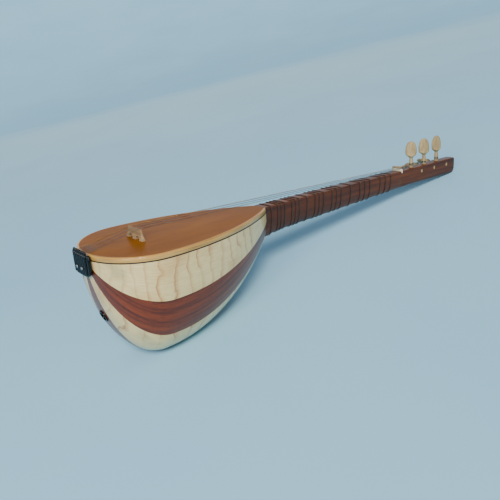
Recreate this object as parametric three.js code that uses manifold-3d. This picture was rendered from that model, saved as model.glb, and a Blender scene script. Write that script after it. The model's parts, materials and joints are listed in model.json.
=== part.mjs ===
// A small bowl-backed long-neck lute with tied frets, lying on its back.
//
// Everything is drawn in the instrument's own frame, in millimetres: X runs from the tail to the
// head, Y runs across, Z comes up out of the soundboard, and z = 0 is the soundboard's top face.
// The last lines lay the instrument down, so that belly and head touch the ground.
import * as THREE from 'three';
import { mergeVertices } from 'three/addons/utils/BufferGeometryUtils.js';
import Module from 'manifold-3d';

const wasm = await Module();
wasm.setup();

// Space left between pieces that touch on the real instrument.
const gap = 0.3;

// Body.
const bodyLength = 272;
const bodyWidth = 170;
const bowlDepth = 150;
const widestAt = 75;
const widthTaper = 0.92;
const depthTaper = 1.02;
const sectionPower = 2.4;
const tailCut = 1;
const ribCount = 7;
const ribThickness = 3;
const seamOpening = 2.5;
const soundboardThickness = 3;
const bindingWidth = 3;
const bindingHeight = 6;
const purflingHeight = 1.2;
const liningWidth = 5;
const liningHeight = 9;
const brace = { width: 6, height: 10, endShare: 0.3, flatShare: 0.6, places: [0.45, 0.72] };
const tailBlock = { length: 16, width: 48, depth: 50 };
const neckBlockLength = 24;
const soundHole = { x: 14, share: 0.5, bore: 6, wall: 2, height: 5 };

// Neck and head.
const jointWidth = 27;
const jointDepth = 47;
const veneerThickness = 1;
const neckLength = 300;
const heelLength = 40;
const heelDrop = 4;
const nutWidth = 21;
const neckDepthAtNut = 30;
const tenon = { length: 18, width: 10, top: 8, bottom: 34 };
const nut = { thickness: 3, seat: 3, rise: 3.5 };
const headLength = 150;
const headWidth = 20;
const headDepth = 28;
const headShoulder = 28;
const headTip = { length: 7, share: 0.78 };
const headBevel = 2;
const neckEase = 0.5;

// Strings, bridge and tailpiece. The scale is a share more than the neck, so that the fifteenth
// semitone always comes just before the joint.
const scalePerNeck = 5 / 3;
const stringRadius = 0.2;
const stringSides = 8;
const courseSpread = { tail: 26, bridge: 27, nut: 15 };
const pairSpace = { bridge: 3, nut: 2.2 };
const bridge = { width: 44, height: 14.5, thickness: 5, crown: 34, footShare: 0.36, arch: 9 };
bridge.endHeight = 2.5;
bridge.sideShare = 0.45;
const tailpiece = { width: 44, drop: 28, thickness: 6, corner: 11, lip: 1.2, tooth: 3, notch: 2.2 };
tailpiece.flare = 0.6;
const tailScrew = { spread: 14, z: -17, shank: 1.1, head: 2.2, headHeight: 1.2, reach: 13 };

// Tuning pegs: heights are measured from the wood the peg stands on.
const peg = { firstFromNut: 38, lastFromTip: 24.5, faceRadius: 3.6, tipRadius: 2.9, height: 45.5 };
peg.waistRadius = 2.6;
peg.holeSlack = 0.4;
peg.paddleStart = 18;
peg.paddleRadius = 10.2;
peg.paddleFlatness = 0.36;
peg.windingStart = 3;
peg.windingEnd = 8.5;
peg.windingRadius = 4.2;
const pegTurns = { front: [-30, -24, -12], side: [20, -10, 40] };
const sidePegDepth = 8.5;
const tipInset = 1;

// Tied frets: semitones above the open string, with the extra quarter tones between.
const fretSteps = [
  1, 1.5, 2, 3, 3.5, 4, 5, 6, 6.5, 7, 8, 8.5, 9, 10, 11, 11.5, 12, 13, 13.5, 14, 15,
];
const fret = { width: 2, thickness: 0.7, clearance: 0.35, travel: 2 };

// How finely the curved surfaces are divided.
const tailSteps = 8;
const foreSteps = 13;
const facetsPerRib = 3;
const sectionSteps = 16;
const pegSides = 14;
const holeSides = 20;
const arcSamples = 240;
const curveSteps = 5;
const headStations = [0, 0.35, 0.7, 1];
const heelStations = [0, 0.1, 0.25, 0.45, 0.7, 1];
const neckSteps = 4;
const screwSides = 12;

// Places worked out from the sizes above.
const rimDrop = bindingHeight + gap + purflingHeight + gap;
const innerTop = -soundboardThickness - gap;
const veneerStart = bodyLength + gap;
const neckStart = veneerStart + veneerThickness + gap;
const nutStart = bodyLength + neckLength;
const neckEnd = nutStart - gap;
const headEnd = nutStart + headLength;
const scaleLength = neckLength * scalePerNeck;
const bridgePlace = nutStart - scaleLength;
const pegPitch = (headLength - peg.firstFromNut - peg.lastFromTip) / 2.5;
const overcut = 1;
const stringLift = gap + stringRadius;

const finishes = {
  paleWood: { color: 0xcdb98e, roughness: 0.25 },
  redWood: { color: 0x713113, roughness: 0.25 },
  soundboardWood: { color: 0xa5682f, roughness: 0.3 },
  bindingWood: { color: 0xc9a86c, roughness: 0.35 },
  darkStrip: { color: 0x2a1a12, roughness: 0.5 },
  insideWood: { color: 0xc8a878, roughness: 0.7 },
  neckWood: { color: 0x5a2c18, roughness: 0.4 },
  pegWood: { color: 0xc4b18c, roughness: 0.6 },
  bridgeWood: { color: 0x9c7a52, roughness: 0.6 },
  blackPlastic: { color: 0x101013, roughness: 0.15 },
  bone: { color: 0xe6dfcc, roughness: 0.35 },
  nylon: { color: 0x2b1c14, roughness: 0.4 },
  steelWire: { color: 0xb9bcc0, roughness: 0.3, metalness: 1 },
  screwSteel: { color: 0x8b8d90, roughness: 0.35, metalness: 1 },
};

const instrument = new THREE.Group();

function addPiece(name, geometry, finish, parent = instrument) {
  const material = new THREE.MeshStandardMaterial({ metalness: 0, ...finishes[finish] });
  const mesh = new THREE.Mesh(geometry, material);
  mesh.name = name;
  parent.add(mesh);
  return mesh;
}

function lerp(from, to, share) {
  return from + (to - from) * share;
}

// ---- Solids from rings of points ----

function signedVolume(points, triangles) {
  const a = new THREE.Vector3();
  const b = new THREE.Vector3();
  const c = new THREE.Vector3();
  let volume = 0;
  for (const [i, j, k] of triangles) {
    a.fromArray(points[i]);
    b.fromArray(points[j]);
    c.fromArray(points[k]);
    volume += a.dot(b.cross(c)) / 6;
  }
  return volume;
}

// A geometry from corner points and triangles, turned so that its faces point out.
function closedGeometry(points, triangles) {
  const outward = signedVolume(points, triangles) > 0;
  const index = outward ? triangles.flat() : triangles.flatMap(([i, j, k]) => [i, k, j]);
  const geometry = new THREE.BufferGeometry();
  geometry.setAttribute('position', new THREE.Float32BufferAttribute(points.flat(), 3));
  geometry.setIndex(index);
  return geometry;
}

// A solid through closed rings of equal count, with a fan round the middle of each end ring.
function loft(rings) {
  const count = rings[0].length;
  const points = rings.flat();
  const triangles = [];
  for (let i = 0; i + 1 < rings.length; i += 1) {
    for (let j = 0; j < count; j += 1) {
      const a = i * count + j;
      const b = i * count + ((j + 1) % count);
      triangles.push([a, b, b + count], [a, b + count, a + count]);
    }
  }
  for (const end of [0, rings.length - 1]) {
    const middle = [0, 1, 2].map((axis) => rings[end].reduce((sum, p) => sum + p[axis], 0) / count);
    points.push(middle);
    const hub = points.length - 1;
    for (let j = 0; j < count; j += 1) {
      const a = end * count + j;
      const b = end * count + ((j + 1) % count);
      triangles.push(end === 0 ? [b, a, hub] : [a, b, hub]);
    }
  }
  return closedGeometry(points, triangles);
}

// A closed band: small rings of equal count, joined in a loop.
function hoop(rings) {
  const count = rings[0].length;
  const triangles = [];
  rings.forEach((ring, i) => {
    const here = i * count;
    const next = ((i + 1) % rings.length) * count;
    for (let j = 0; j < count; j += 1) {
      const k = (j + 1) % count;
      triangles.push([here + j, here + k, next + k], [here + j, next + k, next + j]);
    }
  });
  return closedGeometry(rings.flat(), triangles);
}

// A solid between two grids of points that face each other.
function slab(outer, inner) {
  const rows = outer.length;
  const columns = outer[0].length;
  const points = [...outer.flat(), ...inner.flat()];
  const under = rows * columns;
  const triangles = [];
  const at = (i, j) => i * columns + j;
  for (let i = 0; i + 1 < rows; i += 1) {
    for (let j = 0; j + 1 < columns; j += 1) {
      const [a, b, c, d] = [at(i, j), at(i, j + 1), at(i + 1, j + 1), at(i + 1, j)];
      triangles.push([a, b, c], [a, c, d]);
      triangles.push([under + a, under + c, under + b], [under + a, under + d, under + c]);
    }
  }
  const border = [];
  for (let j = 0; j + 1 < columns; j += 1) border.push(at(0, j));
  for (let i = 0; i + 1 < rows; i += 1) border.push(at(i, columns - 1));
  for (let j = columns - 1; j > 0; j -= 1) border.push(at(rows - 1, j));
  for (let i = rows - 1; i > 0; i -= 1) border.push(at(i, 0));
  border.forEach((a, i) => {
    const b = border[(i + 1) % border.length];
    triangles.push([a, under + b, b], [a, under + a, under + b]);
  });
  return closedGeometry(points, triangles);
}

// ---- Cutting and joining ----

function toSolid(geometry) {
  const bare = geometry.clone();
  bare.deleteAttribute('normal');
  bare.deleteAttribute('uv');
  const merged = mergeVertices(bare, 1e-4);
  return new wasm.Manifold(new wasm.Mesh({
    numProp: 3,
    vertProperties: new Float32Array(merged.attributes.position.array),
    triVerts: new Uint32Array(merged.index.array),
  }));
}

function toGeometry(solid) {
  const mesh = solid.getMesh();
  const geometry = new THREE.BufferGeometry();
  geometry.setAttribute('position', new THREE.Float32BufferAttribute(mesh.vertProperties, 3));
  geometry.setIndex(Array.from(mesh.triVerts));
  return geometry;
}

function cut(geometry, tools) {
  return toGeometry(tools.reduce((solid, tool) => solid.subtract(toSolid(tool)), toSolid(geometry)));
}

function join(geometry, added) {
  return toGeometry(toSolid(geometry).add(toSolid(added)));
}

function keepInside(geometry, limit) {
  return toGeometry(toSolid(geometry).intersect(toSolid(limit)));
}

function boxBetween(low, high) {
  const size = high.map((value, axis) => value - low[axis]);
  const middle = high.map((value, axis) => (value + low[axis]) / 2);
  return new THREE.BoxGeometry(...size).translate(...middle);
}

// An outline drawn in the Y-Z plane, carried along X from x = start.
function extrudeAlongX(shape, start, length) {
  const options = { depth: length, bevelEnabled: false, curveSegments: curveSteps };
  const geometry = new THREE.ExtrudeGeometry(shape, options);
  const turn = new THREE.Matrix4().makeBasis(
    new THREE.Vector3(0, 1, 0),
    new THREE.Vector3(0, 0, 1),
    new THREE.Vector3(1, 0, 0),
  );
  return geometry.applyMatrix4(turn).translate(start, 0, 0);
}

// A round rod, or a tapered one, from one point to another.
function rodBetween(from, to, fromRadius, toRadius, sides) {
  const start = new THREE.Vector3(...from);
  const end = new THREE.Vector3(...to);
  const length = start.distanceTo(end);
  const rod = new THREE.CylinderGeometry(toRadius, fromRadius, length, sides);
  const direction = end.clone().sub(start).normalize();
  const turn = new THREE.Quaternion().setFromUnitVectors(new THREE.Vector3(0, 1, 0), direction);
  rod.applyQuaternion(turn);
  const middle = start.add(end).multiplyScalar(0.5);
  return rod.translate(middle.x, middle.y, middle.z);
}

// ---- The body's surface ----

// A quarter ellipse from the tail to the widest place, then a long taper to the neck joint.
function swell(x, middle, atJoint, taper) {
  if (x < widestAt) {
    const back = (widestAt - x) / widestAt;
    return middle * Math.sqrt(Math.max(0, 1 - back * back));
  }
  const u = (x - widestAt) / (bodyLength - widestAt);
  return atJoint + (middle - atJoint) * Math.pow(Math.max(0, 1 - u * u), taper);
}

function halfWidth(x) {
  return swell(x, bodyWidth / 2, jointWidth / 2, widthTaper);
}

function depthAt(x) {
  return swell(x, bowlDepth, jointDepth, depthTaper);
}

// Half of a rounded, U-shaped oval: angle 0 is the +Y rim and half a turn is the -Y rim.
function ovalPoint(half, depth, angle) {
  const c = Math.cos(angle);
  const s = Math.sin(angle);
  const power = 2 / sectionPower;
  return [half * Math.sign(c) * Math.abs(c) ** power, -depth * Math.abs(s) ** power];
}

// The point of the bowl's cross-section at x that lies a share of the way round it.
function sectionPoint(x, share) {
  const half = halfWidth(x);
  const depth = depthAt(x) - rimDrop;
  const samples = [];
  let length = 0;
  for (let i = 0; i <= arcSamples; i += 1) {
    const point = ovalPoint(half, depth, (Math.PI * i) / arcSamples);
    if (i > 0) {
      const last = samples[i - 1].point;
      length += Math.hypot(point[0] - last[0], point[1] - last[1]);
    }
    samples.push({ point, length });
  }
  const wanted = share * length;
  let i = 1;
  while (i < arcSamples && samples[i].length < wanted) i += 1;
  const before = samples[i - 1];
  const after = samples[i];
  const between = (wanted - before.length) / (after.length - before.length);
  const y = lerp(before.point[0], after.point[0], between);
  const z = lerp(before.point[1], after.point[1], between);
  return new THREE.Vector3(x, y, z - rimDrop);
}

function sectionLength(x) {
  let length = 0;
  let last = ovalPoint(halfWidth(x), depthAt(x) - rimDrop, 0);
  for (let i = 1; i <= arcSamples; i += 1) {
    const point = ovalPoint(halfWidth(x), depthAt(x) - rimDrop, (Math.PI * i) / arcSamples);
    length += Math.hypot(point[0] - last[0], point[1] - last[1]);
    last = point;
  }
  return length;
}

// Outward direction of the bowl's surface.
function bowlNormal(x, share) {
  const stepX = 0.05;
  const stepShare = 0.01;
  const ahead = Math.min(bodyLength, x + stepX);
  const along = sectionPoint(ahead, share).sub(sectionPoint(x - stepX, share));
  const high = Math.min(1, share + stepShare);
  const low = Math.max(0, share - stepShare);
  const across = sectionPoint(x, high).sub(sectionPoint(x, low));
  const normal = across.cross(along).normalize();
  const outside = sectionPoint(x, share).setX(0).add(new THREE.Vector3(0, 0, rimDrop));
  return normal.dot(outside) < 0 ? normal.negate() : normal;
}

// A point a given depth below the bowl's outside.
function bowlPoint(x, share, below) {
  const point = sectionPoint(x, share);
  return below === 0 ? point : point.addScaledVector(bowlNormal(x, share), -below);
}

// Cross-sections are closer together near the tail, where the bowl turns quickly.
const bowlStations = [];
const firstAngle = Math.acos(1 - tailCut / widestAt);
for (let i = 0; i <= tailSteps; i += 1) {
  bowlStations.push(widestAt * (1 - Math.cos(lerp(firstAngle, Math.PI / 2, i / tailSteps))));
}
for (let i = 1; i <= foreSteps; i += 1) {
  bowlStations.push(lerp(widestAt, bodyLength, i / foreSteps));
}

// A point on the body's outline, moved in from the edge.
function rimPoint(x, inset, side) {
  const y = halfWidth(x);
  if (x < widestAt) {
    const normal = new THREE.Vector2((x - widestAt) / widestAt ** 2, y / (bodyWidth / 2) ** 2);
    normal.normalize();
    return [x - inset * normal.x, side * (y - inset * normal.y)];
  }
  const step = 0.5;
  const slope = (y - halfWidth(x - step)) / step;
  return [x, side * (y - inset * Math.hypot(1, slope))];
}

// A strip of rectangular section that follows the outline through the given places.
function rimStrip(places, insetOut, insetIn, top, bottom) {
  return loft(places.map(([x, side]) => {
    const outer = rimPoint(x, insetOut, side);
    const inner = rimPoint(x, insetIn, side);
    return [[...outer, top], [...outer, bottom], [...inner, bottom], [...inner, top]];
  }));
}

// The whole edge: from the joint down one side, round the tail and up the other side.
function wholeRim() {
  const down = [...bowlStations].reverse().map((x) => [x, -1]);
  const up = bowlStations.map((x) => [x, 1]);
  return [...down, [0, 1], ...up];
}

// ---- Body pieces ----

// A row of points across one rib, a given depth below the outside and clear of both its seams.
function ribRow(number, x, below, clearance) {
  const seam = clearance / sectionLength(x);
  const row = [];
  for (let j = 0; j <= facetsPerRib; j += 1) {
    const share = lerp(number / ribCount + seam, (number + 1) / ribCount - seam, j / facetsPerRib);
    row.push(bowlPoint(x, share, below).toArray());
  }
  return row;
}

// The seams open a little towards the inside, where the bowl is narrower than outside.
function makeRib(number) {
  const outer = bowlStations.map((x) => ribRow(number, x, 0, gap / 2));
  const inner = bowlStations.map((x) => ribRow(number, x, ribThickness, (gap / 2) * seamOpening));
  return slab(outer, inner);
}

// A solid that fills the inside of the bowl over some of its stations.
function bowlPlug(stations) {
  const facets = ribCount * facetsPerRib;
  return loft(stations.map((x) => {
    const ring = [];
    for (let j = 0; j <= facets; j += 1) {
      ring.push(bowlPoint(x, j / facets, ribThickness + gap).toArray());
    }
    // The plug's upright sides stay clear of the binding above the ribs.
    for (const edge of [ring[0], ring[facets]]) {
      const clear = rimPoint(Math.max(edge[0], 0), bindingWidth + 2 * gap, 1)[1];
      edge[1] = Math.sign(edge[1]) * Math.min(Math.abs(edge[1]), clear);
    }
    const [frontX, leftY] = ring[0];
    return [[frontX, leftY, innerTop], ...ring, [frontX, ring[facets][1], innerTop]];
  }));
}

function screwPlaces() {
  return [-1, 1].map((side) => side * tailScrew.spread / 2);
}

function screwHole(y) {
  const radius = tailScrew.shank + gap;
  const start = [-tailpiece.thickness - gap - overcut, y, tailScrew.z];
  const end = [tailScrew.reach + overcut, y, tailScrew.z];
  return rodBetween(start, end, radius, radius, holeSides);
}

function makeTailBlock() {
  const stations = bowlStations.filter((x) => x < tailBlock.length + ribThickness * 4);
  const half = tailBlock.width / 2;
  const limit = boxBetween([-overcut, -half, -tailBlock.depth], [tailBlock.length, half, overcut]);
  return cut(keepInside(bowlPlug(stations), limit), screwPlaces().map(screwHole));
}

function tenonBox(clearance) {
  const half = tenon.width / 2 + clearance;
  return boxBetween(
    [bodyLength - tenon.length - clearance, -half, -tenon.bottom - clearance],
    [neckStart + overcut, half, -tenon.top + clearance],
  );
}

function makeNeckBlock() {
  const start = bodyLength - neckBlockLength;
  const stations = [start, ...bowlStations.filter((x) => x > start + overcut)];
  return cut(bowlPlug(stations), [tenonBox(gap)]);
}

function makeSoundboard() {
  const inset = bindingWidth + gap;
  const places = wholeRim().map(([x, side]) => new THREE.Vector2(...rimPoint(x, inset, side)));
  const shape = new THREE.Shape(places);
  const board = new THREE.ExtrudeGeometry(shape, { depth: soundboardThickness, bevelEnabled: false });
  return board.translate(0, 0, -soundboardThickness);
}

function makeLining(side) {
  const low = tailBlock.length + ribThickness;
  const high = bodyLength - neckBlockLength - ribThickness;
  const places = bowlStations.filter((x) => x > low && x < high).map((x) => [x, side]);
  const inset = ribThickness + gap;
  return rimStrip(places, inset, inset + liningWidth, innerTop, innerTop - liningHeight);
}

// A bar across the underside of the soundboard, thinned towards its ends.
function makeBrace(share) {
  const x = bodyLength * share;
  const half = halfWidth(x + brace.width) - ribThickness * 2 - liningWidth;
  const shape = new THREE.Shape();
  shape.moveTo(-half, innerTop);
  shape.lineTo(-half, innerTop - brace.height * brace.endShare);
  shape.lineTo(-half * brace.flatShare, innerTop - brace.height);
  shape.lineTo(half * brace.flatShare, innerTop - brace.height);
  shape.lineTo(half, innerTop - brace.height * brace.endShare);
  shape.lineTo(half, innerTop);
  return extrudeAlongX(shape, x - brace.width / 2, brace.width);
}

function soundHolePlace() {
  const { x, share } = soundHole;
  return { point: bowlPoint(x, share, ribThickness / 2), normal: bowlNormal(x, share) };
}

function makeSoundHoleRing() {
  const inner = soundHole.bore;
  const outer = inner + soundHole.wall;
  const half = soundHole.height / 2;
  const profile = [[inner, -half], [outer, -half], [outer, half], [inner, half], [inner, -half]];
  return new THREE.LatheGeometry(profile.map(([r, h]) => new THREE.Vector2(r, h)), holeSides);
}

function soundHoleCutter() {
  const { point, normal } = soundHolePlace();
  const radius = soundHole.bore + soundHole.wall + gap;
  const reach = normal.clone().multiplyScalar(ribThickness * 4);
  const from = point.clone().sub(reach).toArray();
  const to = point.clone().add(reach).toArray();
  return rodBetween(from, to, radius, radius, holeSides);
}

// ---- Neck and head ----

function neckHalfWidth(x) {
  return lerp(jointWidth, nutWidth, (x - neckStart) / (nutStart - neckStart)) / 2;
}

function neckDepth(x) {
  const share = (x - neckStart) / (nutStart - neckStart);
  const heel = Math.max(0, 1 - (x - neckStart) / heelLength) ** 2;
  return lerp(jointDepth - heelDrop, neckDepthAtNut, share) + heelDrop * heel;
}

// A ring across the neck or head: an oval back that can be made square, and eased front edges.
function crossRing(x, half, depth, squareness, ease, lift = 0) {
  const corner = 1 / Math.cos((3 * Math.PI) / 16);
  const clamp = (value) => Math.max(-1, Math.min(1, value * corner));
  const ring = [[x, half - ease, lift], [x, half, lift - ease]];
  for (let j = 1; j < sectionSteps; j += 1) {
    const angle = (Math.PI * j) / sectionSteps;
    const round = ovalPoint(half, depth, angle);
    const square = [half * clamp(Math.cos(angle)), -depth * clamp(Math.sin(angle))];
    const y = lerp(round[0], square[0], squareness);
    const z = lerp(round[1], square[1], squareness);
    ring.push([x, y, z + lift]);
  }
  ring.push([x, -half, lift - ease], [x, -half + ease, lift]);
  return ring;
}

function makeVeneer() {
  const rings = [veneerStart, veneerStart + veneerThickness].map(
    (x) => crossRing(x, jointWidth / 2, jointDepth, 0, neckEase),
  );
  return cut(loft(rings), [tenonBox(gap)]);
}

function makeNeck() {
  const places = heelStations.map((share) => neckStart + heelLength * share);
  for (let i = 1; i <= neckSteps; i += 1) {
    places.push(lerp(neckStart + heelLength, neckEnd, i / neckSteps));
  }
  const bare = loft(places.map((x) => crossRing(x, neckHalfWidth(x), neckDepth(x), 0, neckEase)));
  return join(bare, tenonBox(0));
}

function headHalfWidth(x) {
  const share = Math.min(1, (x - nutStart) / headShoulder);
  return lerp(nutWidth, headWidth, share) / 2;
}

function frontPegPlaces() {
  return pegTurns.front.map((turn, i) => nutStart + peg.firstFromNut + i * pegPitch);
}

function sidePegPlaces() {
  return frontPegPlaces().map((x) => x + pegPitch / 2);
}

function pegHole(from, to) {
  const { faceRadius, tipRadius, holeSlack } = peg;
  return rodBetween(from, to, faceRadius + holeSlack, tipRadius + holeSlack, holeSides);
}

function makeHeadstock() {
  const ring = (x, share) => {
    const square = Math.min(1, (x - nutStart) / headShoulder);
    const depth = lerp(neckDepthAtNut, headDepth, square) * share;
    return crossRing(x, headHalfWidth(x) * share, depth, square, lerp(neckEase, headBevel, square));
  };
  const tipStart = headEnd - headTip.length;
  const rings = headStations.map((share) => ring(nutStart + headShoulder * share, 1));
  rings.push(ring(tipStart, 1), ring(headEnd, headTip.share));
  const seatLow = [nutStart - overcut, -nutWidth, -nut.seat - gap];
  const seatHigh = [nutStart + nut.thickness + gap, nutWidth, overcut];
  const tools = [boxBetween(seatLow, seatHigh)];
  for (const x of frontPegPlaces()) {
    tools.push(pegHole([x, 0, overcut], [x, 0, -headDepth - overcut]));
  }
  for (const x of sidePegPlaces()) {
    const reach = headHalfWidth(x) + overcut;
    tools.push(pegHole([x, reach, -sidePegDepth], [x, -reach, -sidePegDepth]));
  }
  return cut(loft(rings), tools);
}

// The nut: a thin upright strip, rounded on top, seated in a step at the top of the head.
function makeNut() {
  const half = nutWidth / 2 - neckEase;
  const shape = new THREE.Shape();
  shape.moveTo(-half, -nut.seat);
  shape.lineTo(half, -nut.seat);
  shape.lineTo(half, nut.rise - 1);
  shape.lineTo(half - 1, nut.rise);
  shape.lineTo(-half + 1, nut.rise);
  shape.lineTo(-half, nut.rise - 1);
  return extrudeAlongX(shape, nutStart, nut.thickness);
}

// A tied fret: a flat band closed round the neck. It is as large as the neck is where the fret
// comes when it is slid all the way to the body, so it stays clear over its whole travel.
function makeFret(x) {
  const wide = x - fret.width / 2;
  const half = neckHalfWidth(wide - fret.travel);
  const depth = neckDepth(wide - fret.travel);
  const section = (grow) => crossRing(0, half + grow, depth + grow * 2, 0, neckEase, grow);
  const inner = section(fret.clearance);
  const outer = section(fret.clearance + fret.thickness);
  return hoop(inner.map(([, y, z], i) => {
    const [, outY, outZ] = outer[i];
    return [[wide, y, z], [wide, outY, outZ], [wide + fret.width, outY, outZ], [wide + fret.width, y, z]];
  }));
}

function fretPlace(step) {
  return nutStart - scaleLength * (1 - 2 ** (-step / 12));
}

// ---- Pegs ----

// A turned shank that flattens into a paddle for the fingers. It stands along Z from z = 0.
function makePeg(shankLength) {
  const start = peg.paddleStart;
  const rise = peg.height - start;
  const profile = [
    [0, -shankLength],
    [peg.tipRadius - 0.4, -shankLength],
    [peg.tipRadius, -shankLength + 0.6],
    [peg.faceRadius, 0],
    [peg.faceRadius, peg.windingStart],
    [peg.windingRadius, peg.windingStart + 0.4],
    [peg.windingRadius, peg.windingEnd - 0.4],
    [peg.faceRadius - 0.3, peg.windingEnd],
    [peg.waistRadius, start - 1.5],
    [peg.paddleRadius * 0.45, start + rise * 0.03],
    [peg.paddleRadius * 0.82, start + rise * 0.18],
    [peg.paddleRadius, start + rise * 0.45],
    [peg.paddleRadius * 0.97, start + rise * 0.62],
    [peg.paddleRadius * 0.78, start + rise * 0.84],
    [peg.paddleRadius * 0.42, start + rise * 0.97],
    [0, peg.height],
  ];
  const geometry = new THREE.LatheGeometry(profile.map(([r, h]) => new THREE.Vector2(r, h)), pegSides);
  const position = geometry.attributes.position;
  for (let i = 0; i < position.count; i += 1) {
    const share = Math.min(1, Math.max(0, (position.getY(i) - start + 1.5) / (rise * 0.3)));
    position.setZ(i, position.getZ(i) * lerp(1, peg.paddleFlatness, share));
  }
  return geometry.rotateX(Math.PI / 2);
}

function addPegs() {
  frontPegPlaces().forEach((x, i) => {
    const mesh = addPiece(`front_peg_${i + 1}`, makePeg(headDepth - tipInset), 'pegWood');
    mesh.position.set(x, 0, 0);
    mesh.rotation.z = THREE.MathUtils.degToRad(pegTurns.front[i]);
  });
  sidePegPlaces().forEach((x, i) => {
    const half = headHalfWidth(x);
    const holder = new THREE.Group();
    holder.position.set(x, half, -sidePegDepth);
    holder.rotation.x = -Math.PI / 2;
    instrument.add(holder);
    const mesh = addPiece(`side_peg_${i + 1}`, makePeg(half * 2 - tipInset), 'pegWood', holder);
    mesh.rotation.z = THREE.MathUtils.degToRad(pegTurns.side[i]);
  });
}

// ---- Bridge, tailpiece and strings ----

// A low arched bridge on three feet, carried along the strings' direction by its thickness.
function makeBridge() {
  const half = bridge.width / 2;
  const top = bridge.crown / 2;
  const foot = half * bridge.footShare;
  const waist = bridge.height * bridge.sideShare;
  const shape = new THREE.Shape();
  shape.moveTo(-half, gap);
  shape.lineTo(-half + foot, gap);
  shape.quadraticCurveTo((-half + foot - foot / 2) / 2, bridge.arch, -foot / 2, gap);
  shape.lineTo(foot / 2, gap);
  shape.quadraticCurveTo((half - foot + foot / 2) / 2, bridge.arch, half - foot, gap);
  shape.lineTo(half, gap);
  shape.lineTo(half, bridge.endHeight);
  shape.quadraticCurveTo(top + 1, waist, top, bridge.height);
  shape.lineTo(-top, bridge.height);
  shape.quadraticCurveTo(-top - 1, waist, -half, bridge.endHeight);
  return extrudeAlongX(shape, bridgePlace - bridge.thickness / 2, bridge.thickness);
}

function stringSpots(spread, pair) {
  const middles = [-1, 0, 1].map((course) => course * (spread - pair) / 2);
  return middles.flatMap((middle) => [middle - pair / 2, middle + pair / 2]);
}

function tailNotches() {
  return [0, 1, 2, 3, 4, 5].map((i) => (i / 5 - 0.5) * courseSpread.tail);
}

// A comb-topped plate across the tail, with a notch for each string.
function makeTailpiece() {
  const half = tailpiece.width / 2;
  const { lip, tooth, notch, corner, drop, flare } = tailpiece;
  const shape = new THREE.Shape();
  shape.moveTo(half, lip);
  shape.lineTo(half, -drop + corner);
  shape.quadraticCurveTo(half, -drop, half - corner, -drop);
  shape.lineTo(0, -drop);
  shape.lineTo(-half + corner, -drop);
  shape.quadraticCurveTo(-half, -drop, -half, -drop + corner);
  shape.lineTo(-half, lip);
  for (const y of tailNotches()) {
    shape.lineTo(y - notch / 2 - flare, lip + tooth);
    shape.lineTo(y - notch / 2, lip);
    shape.lineTo(y + notch / 2, lip);
    shape.lineTo(y + notch / 2 + flare, lip + tooth);
  }
  const plate = extrudeAlongX(shape, -gap - tailpiece.thickness, tailpiece.thickness);
  return cut(plate, screwPlaces().map(screwHole));
}

function makeTailScrew(y) {
  const under = -gap - tailpiece.thickness - gap;
  const top = under - tailScrew.headHeight;
  const profile = [
    [0, top],
    [tailScrew.head * 0.8, top],
    [tailScrew.head, under - tailScrew.headHeight * 0.4],
    [tailScrew.head, under],
    [tailScrew.shank, under],
    [tailScrew.shank, tailScrew.reach - 2],
    [0, tailScrew.reach],
  ];
  const geometry = new THREE.LatheGeometry(profile.map(([r, h]) => new THREE.Vector2(r, h)), screwSides);
  return geometry.rotateZ(-Math.PI / 2).translate(0, y, tailScrew.z);
}

// A wire through the given points, square to X at each of them.
function makeString(points) {
  return loft(points.map(([x, y, z]) => {
    const ring = [];
    for (let j = 0; j < stringSides; j += 1) {
      const angle = (2 * Math.PI * j) / stringSides;
      ring.push([x, y + stringRadius * Math.cos(angle), z + stringRadius * Math.sin(angle)]);
    }
    return ring;
  }));
}

// Where each string ends: beside the turns on its peg. The far front peg takes the outer string.
function stringEnds() {
  const reach = peg.windingRadius + stringLift;
  const front = frontPegPlaces();
  const side = sidePegPlaces();
  const span = peg.windingEnd - peg.windingStart;
  const frontEnd = (i) => [front[i], -reach, peg.windingStart + span * (0.8 - 0.3 * i)];
  const sideEnd = (i) => [
    side[i],
    headHalfWidth(side[i]) + peg.windingStart + span * (0.2 + 0.3 * i),
    -sidePegDepth + reach,
  ];
  return [frontEnd(2), frontEnd(1), frontEnd(0), sideEnd(2), sideEnd(1), sideEnd(0)];
}

function addStrings() {
  const tail = tailNotches();
  const onBridge = stringSpots(courseSpread.bridge, pairSpace.bridge);
  const onNut = stringSpots(courseSpread.nut, pairSpace.nut);
  stringEnds().forEach((end, i) => {
    const crownZ = bridge.height + stringLift;
    const nutZ = nut.rise + stringLift;
    const points = [
      [-tailpiece.thickness / 2, tail[i], tailpiece.lip + stringLift],
      [1, tail[i], tailpiece.lip + stringLift + 0.3],
      [bridgePlace - bridge.thickness / 2, onBridge[i], crownZ],
      [bridgePlace + bridge.thickness / 2, onBridge[i], crownZ],
      [nutStart, onNut[i], nutZ],
      [nutStart + nut.thickness, onNut[i], nutZ],
      end,
    ];
    addPiece(`string_${i + 1}`, makeString(points), 'steelWire');
  });
}

// ---- Assembly ----

for (let i = 0; i < ribCount; i += 1) {
  const bare = makeRib(i);
  const isKeel = i === (ribCount - 1) / 2;
  const rib = isKeel ? cut(bare, [soundHoleCutter()]) : bare;
  addPiece(`rib_${i + 1}`, rib, i % 2 === 0 ? 'paleWood' : 'redWood');
}
const ringMesh = addPiece('sound_hole_ring', makeSoundHoleRing(), 'blackPlastic');
const ringPlace = soundHolePlace();
ringMesh.position.copy(ringPlace.point);
ringMesh.quaternion.setFromUnitVectors(new THREE.Vector3(0, 1, 0), ringPlace.normal);

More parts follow.
